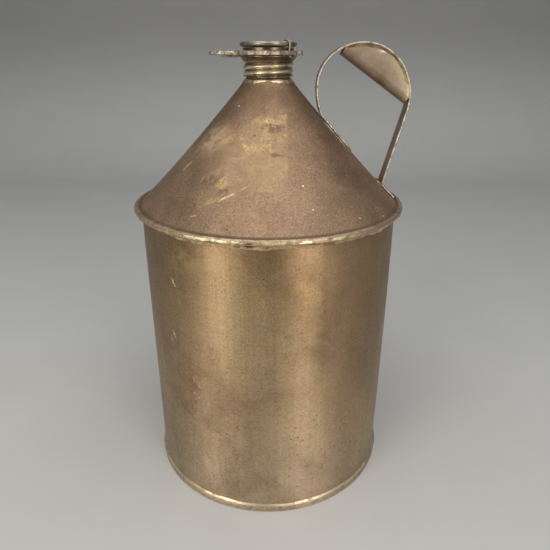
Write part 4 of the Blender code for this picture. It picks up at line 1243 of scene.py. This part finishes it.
def smooth_solder_material(name, dark, light, share, painted_highlights=()):
    """Solder wiped smooth and gone brown, with paler worn patches, and painted highlights at the given
    (centre, size) spots.
    """
    look = Look(name, 0.85)
    clouds = look.grain(90, 5, rough=0.6, shift=4)
    fine = look.grain(700, 4, shift=8)
    look.colour = look.blend(look.ramp(clouds, 0.4, 0.62), dark, light)
    look.mottle(look.ramp(fine, 0.3, 0.7), 0.8, 1.14, 0.8)
    look.coat((0.86, 0.75, 0.54), look.wear(), look.ramp(clouds, 0.36, 0.56), share)
    # Painted highlights: pale gold spots at the given places.
    for centre, size in painted_highlights:
        look.coat((0.95, 0.8, 0.5), look.near(centre, size, 0.6))
    rough = look.plus(0.34, look.ramp(clouds, 0.6, 0.36), 0.2)
    return look.finish(rough, look.bump(fine, 0.08 * MM, 0.5))


def forged_material():
    """Rough forged iron with pinkish grey specks over dark brown scale."""
    look = Look("forged_plate", 0.6)
    lumps = look.grain(260, 6, rough=0.7)
    fine = look.grain(1100, 4, shift=5)
    look.colour = look.blend(look.ramp(lumps, 0.42, 0.64), (0.19, 0.14, 0.1), (0.58, 0.48, 0.39))
    look.coat((0.68, 0.52, 0.42), look.patchy(0.6, 0.68, 420, 5, shift=7), 0.5)
    look.mottle(look.ramp(fine, 0.3, 0.7), 0.75, 1.2, 0.8)
    rough = look.plus(0.42, look.ramp(lumps, 0.6, 0.3), 0.3)
    normal = look.bump(fine, 0.12 * MM, 0.6)
    return look.finish(rough, look.bump(lumps, 0.35 * MM, 0.6, normal))


def grip_material():
    """Brown steel that the hand keeps smooth, with a greenish yellow film along the outer part of its arc."""
    look = Look("grip_steel", 0.7)
    clouds = look.grain(45, 5, rough=0.6, shift=3)
    fine = look.grain(900, 4, shift=9)
    look.colour = look.blend(look.ramp(clouds, 0.34, 0.66), (0.18, 0.132, 0.09), (0.27, 0.205, 0.145))
    look.mottle(look.ramp(fine, 0.3, 0.7), 0.85, 1.1, 0.7)
    arc = Vector((LOOP_CENTRE.x, 0, LOOP_CENTRE.y))
    inner = look.near(arc, (LOOP_RADIUS - 5.5 * MM, 1.0, LOOP_RADIUS - 5.5 * MM), 0.12)
    outer_end = look.near(arc + Vector((38 * MM, 0, 2 * MM)), (0.026, 1.0, 0.026), 0.35)
    film = look.times(look.math("SUBTRACT", 1.0, inner), outer_end, look.ramp(clouds, 0.2, 0.5))
    look.coat((0.36, 0.305, 0.18), film, 0.6)
    # A pale streak across the top of the grip, against the strap.
    pale_top_streak = look.near(arc + Vector((16 * MM, 0, 31 * MM)), (0.005, 1.0, 0.0012), 0.6)
    look.coat((0.75, 0.68, 0.5), pale_top_streak, look.ramp(fine, 0.35, 0.5), 0.7)
    rough = look.plus(0.38, look.ramp(clouds, 0.3, 0.7), 0.1)
    normal = look.bump(fine, 0.06 * MM, 0.35)
    return look.finish(rough, look.bump(clouds, 0.2 * MM, 0.3, normal))


def leather_material():
    look = Look("gasket_leather", 0.0)
    clouds = look.grain(120, 5)
    creases = look.cells(900)
    look.colour = look.blend(look.ramp(clouds, 0.35, 0.65), (0.1, 0.05, 0.025), (0.24, 0.13, 0.07))
    look.coat((0.3, 0.18, 0.1), look.ramp(creases, 0.1, 0.4), 0.4)
    return look.finish(look.plus(0.6, clouds, 0.3), look.bump(creases, 0.15 * MM, 0.7))


# ---------------------------------------------------------------- stage

CAMERA_SIDE = 5.5 * MM
CAMERA_BACK = 418.4 * MM
CAMERA_HEIGHT = 351.4 * MM
CAMERA_PITCH = math.radians(23.28)
CAMERA_ROLL = math.radians(0.148)
LENS = 33.25


def add_camera():
    data = bpy.data.cameras.new("camera")
    data.lens = LENS
    data.sensor_width = 36
    obj = bpy.data.objects.new("camera", data)
    tilt = Matrix.Rotation(math.pi / 2 - CAMERA_PITCH, 4, "X")
    roll = Matrix.Rotation(CAMERA_ROLL, 4, "Z")
    place = Matrix.Translation((CAMERA_SIDE, -CAMERA_BACK, CAMERA_HEIGHT))
    obj.matrix_world = place @ tilt @ roll
    bpy.context.scene.collection.objects.link(obj)
    bpy.context.scene.camera = obj


def add_light(name, place, target, size, power, colour):
    data = bpy.data.lights.new(name, "AREA")
    data.shape = "RECTANGLE"
    data.size, data.size_y = size
    data.energy = power
    data.color = colour
    obj = bpy.data.objects.new(name, data)
    aim = (target - place).to_track_quat("-Z", "Y")
    obj.matrix_world = Matrix.Translation(place) @ aim.to_matrix().to_4x4()
    obj.visible_camera = False
    bpy.context.scene.collection.objects.link(obj)


def backdrop_material():
    """Pale on the floor and a plain mid grey up the wall."""
    look = Look("pale_backdrop", 0.0)
    mottle = look.grain(9, 4)
    look.colour = look.blend(look.ramp(look.height(), 0.02, 0.5), (0.55, 0.555, 0.54), 0.3)
    look.mottle(mottle, 0.95, 1.05, 1.0)
    return look.finish(look.plus(0.75, mottle, 0.1))


def add_backdrop():
    """A floor that sweeps up into a wall behind the can, in one sheet."""
    width = 7.0
    bend = 0.6
    start, wall = -2.2, 1.7
    outline = [(start, 0.0), (wall - bend, 0.0)]
    for i in range(1, 17):
        angle = math.pi / 2 * i / 16
        outline.append((wall - bend + bend * math.sin(angle), bend - bend * math.cos(angle)))
    outline.append((wall, 3.0))
    points = []
    for depth, height in outline:
        for side in (-width, width):
            points.append((side, depth, height))
    faces = [(2 * i, 2 * i + 1, 2 * i + 3, 2 * i + 2) for i in range(len(outline) - 1)]
    obj = add_piece("backdrop", points, faces)
    obj.data.materials.append(backdrop_material())


def around(angle, distance, height):
    """A point at an angle in degrees to the right of the camera's side of the can."""
    turn = math.radians(angle - 90)
    return Vector((distance * math.cos(turn), distance * math.sin(turn), height))


def add_studio():
    target = Vector((0, 0, 0.14))
    add_light("strip_left", around(-40, 1.25, 0.2), target, (0.56, 0.8), 8.6, (1.0, 0.95, 0.86))
    add_light("strip_right", around(31, 1.25, 0.2), target, (0.46, 0.8), 7.8, (1.0, 0.93, 0.88))
    add_light("top_soft", Vector((0.0, -0.45, 1.5)), target, (2.0, 1.5), 15, (1.0, 0.98, 0.95))
    world = bpy.data.worlds.new("studio")
    world.use_nodes = True
    world.node_tree.nodes["Background"].inputs["Color"].default_value = (0.95, 0.97, 1.0, 1.0)
    world.node_tree.nodes["Background"].inputs["Strength"].default_value = 0.31
    bpy.context.scene.world = world
    bpy.context.scene.view_settings.view_transform = "Standard"


# ---------------------------------------------------------------- assembly

def solder_runs():
    """(node, object, material, slot) of every run of solder."""
    rough = solder_material()
    toe = 18.6 * MM
    # Painted highlights on the neck's solder, at two spots of its toe.
    painted_highlights = ((spot_on(toe, -104, cone_z(toe)), (0.0042, 0.003, 0.0011)),
              (spot_on(toe, -72, cone_z(toe)), (0.005, 0.003, 0.0009)))
    neck = smooth_solder_material("neck_solder", (0.17, 0.105, 0.06), (0.32, 0.22, 0.13), 0.35, painted_highlights)
    base = smooth_solder_material("base_solder", (0.4, 0.31, 0.2), (0.5, 0.4, 0.27), 0.3)
    grip = smooth_solder_material("grip_solder", (0.15, 0.115, 0.07), (0.3, 0.25, 0.15), 0.2)
    return (
        ("shoulder_solder", shoulder_solder(), rough, "solder"),
        ("base_solder", base_solder(), base, "solder"),
        ("neck_solder", neck_solder(), neck, "solder"),
        ("grip_solder_front", grip_solder("grip_solder_front_run", -1), grip, "solder"),
        ("grip_solder_rear", grip_solder("grip_solder_rear_run", 1), grip, "solder"),
        ("upper_foot_solder", upper_foot_solder(), rough, "solder"),
        ("lower_foot_solder", lower_foot_solder(), rough, "solder"),
        ("cone_seam_solder", cone_seam_solder(), rough, "solder"),
        ("body_seam_solder", body_seam_solder(), rough, "solder"),
    )


def build_can():
    tin = body_material()
    strap = metal_material("strap_steel", (0.19, 0.135, 0.09), (0.33, 0.245, 0.175), 0.4, metallic=0.6)
    neck = metal_material("neck_tin", (0.2, 0.13, 0.08), (0.38, 0.28, 0.18), 0.36, scale=1.6, hollow_grime_and_shade=0.5)
    wall = turned("body_wall_rolled", body_profile(), 320, body_shift)
    pan = turned("base_pan_pressed", pan_profile(), 320, pan_shift, closed=False)
    cone = turned("cone_top_spun", cone_profile(), 320, cone_shift)
    finish_pieces("can", (
        ("body_wall", wall, tin, "body_steel"),
        ("base_pan", pan, tin, "body_steel"),
        ("cone_top", cone, cone_material(), "cone_steel"),
        ("neck_tube", neck_tube(), neck, "neck_steel"),
        ("handle_strap", handle_strap(), strap, "handle_steel"),
        ("handle_grip", handle_grip(), grip_material(), "handle_steel"),
        *solder_runs(),
    ))


def build_cap():
    steel = metal_material("cap_steel", (0.3, 0.23, 0.145), (0.56, 0.45, 0.3), 0.25, (0.85, 0.73, 0.5),
                           scale=1.6, hollow_grime_and_shade=0.8)
    ring = metal_material("ring_steel", (0.27, 0.23, 0.175), (0.48, 0.42, 0.33), 0.3, (0.85, 0.77, 0.6),
                          scale=1.6, hollow_grime_and_shade=0.35)
    wire = metal_material("seal_wire", (0.3, 0.25, 0.2), (0.5, 0.44, 0.37), 0.4, scale=2.0)
    tin = metal_material("liner_tin", (0.4, 0.38, 0.34), (0.55, 0.53, 0.49), 0.35)
    finish_pieces("cap", (
        ("cap_shell", cap_shell(), steel, "cap_steel"),
        ("cap_top_ring", cap_top_ring(), ring, "cap_steel"),
        ("lug_plate", lug_plate(), forged_material(), "lug_plate_iron"),
        ("seal_wire", seal_wire(), wire, "seal_wire"),
    ))
    finish_pieces("cap_seal", (
        ("cap_liner_disc", cap_liner(), tin, "liner_tin"),
        ("cap_gasket", cap_gasket(), leather_material(), "gasket_leather"),
    ))


add_camera()
add_studio()
add_backdrop()
build_can()
build_cap()
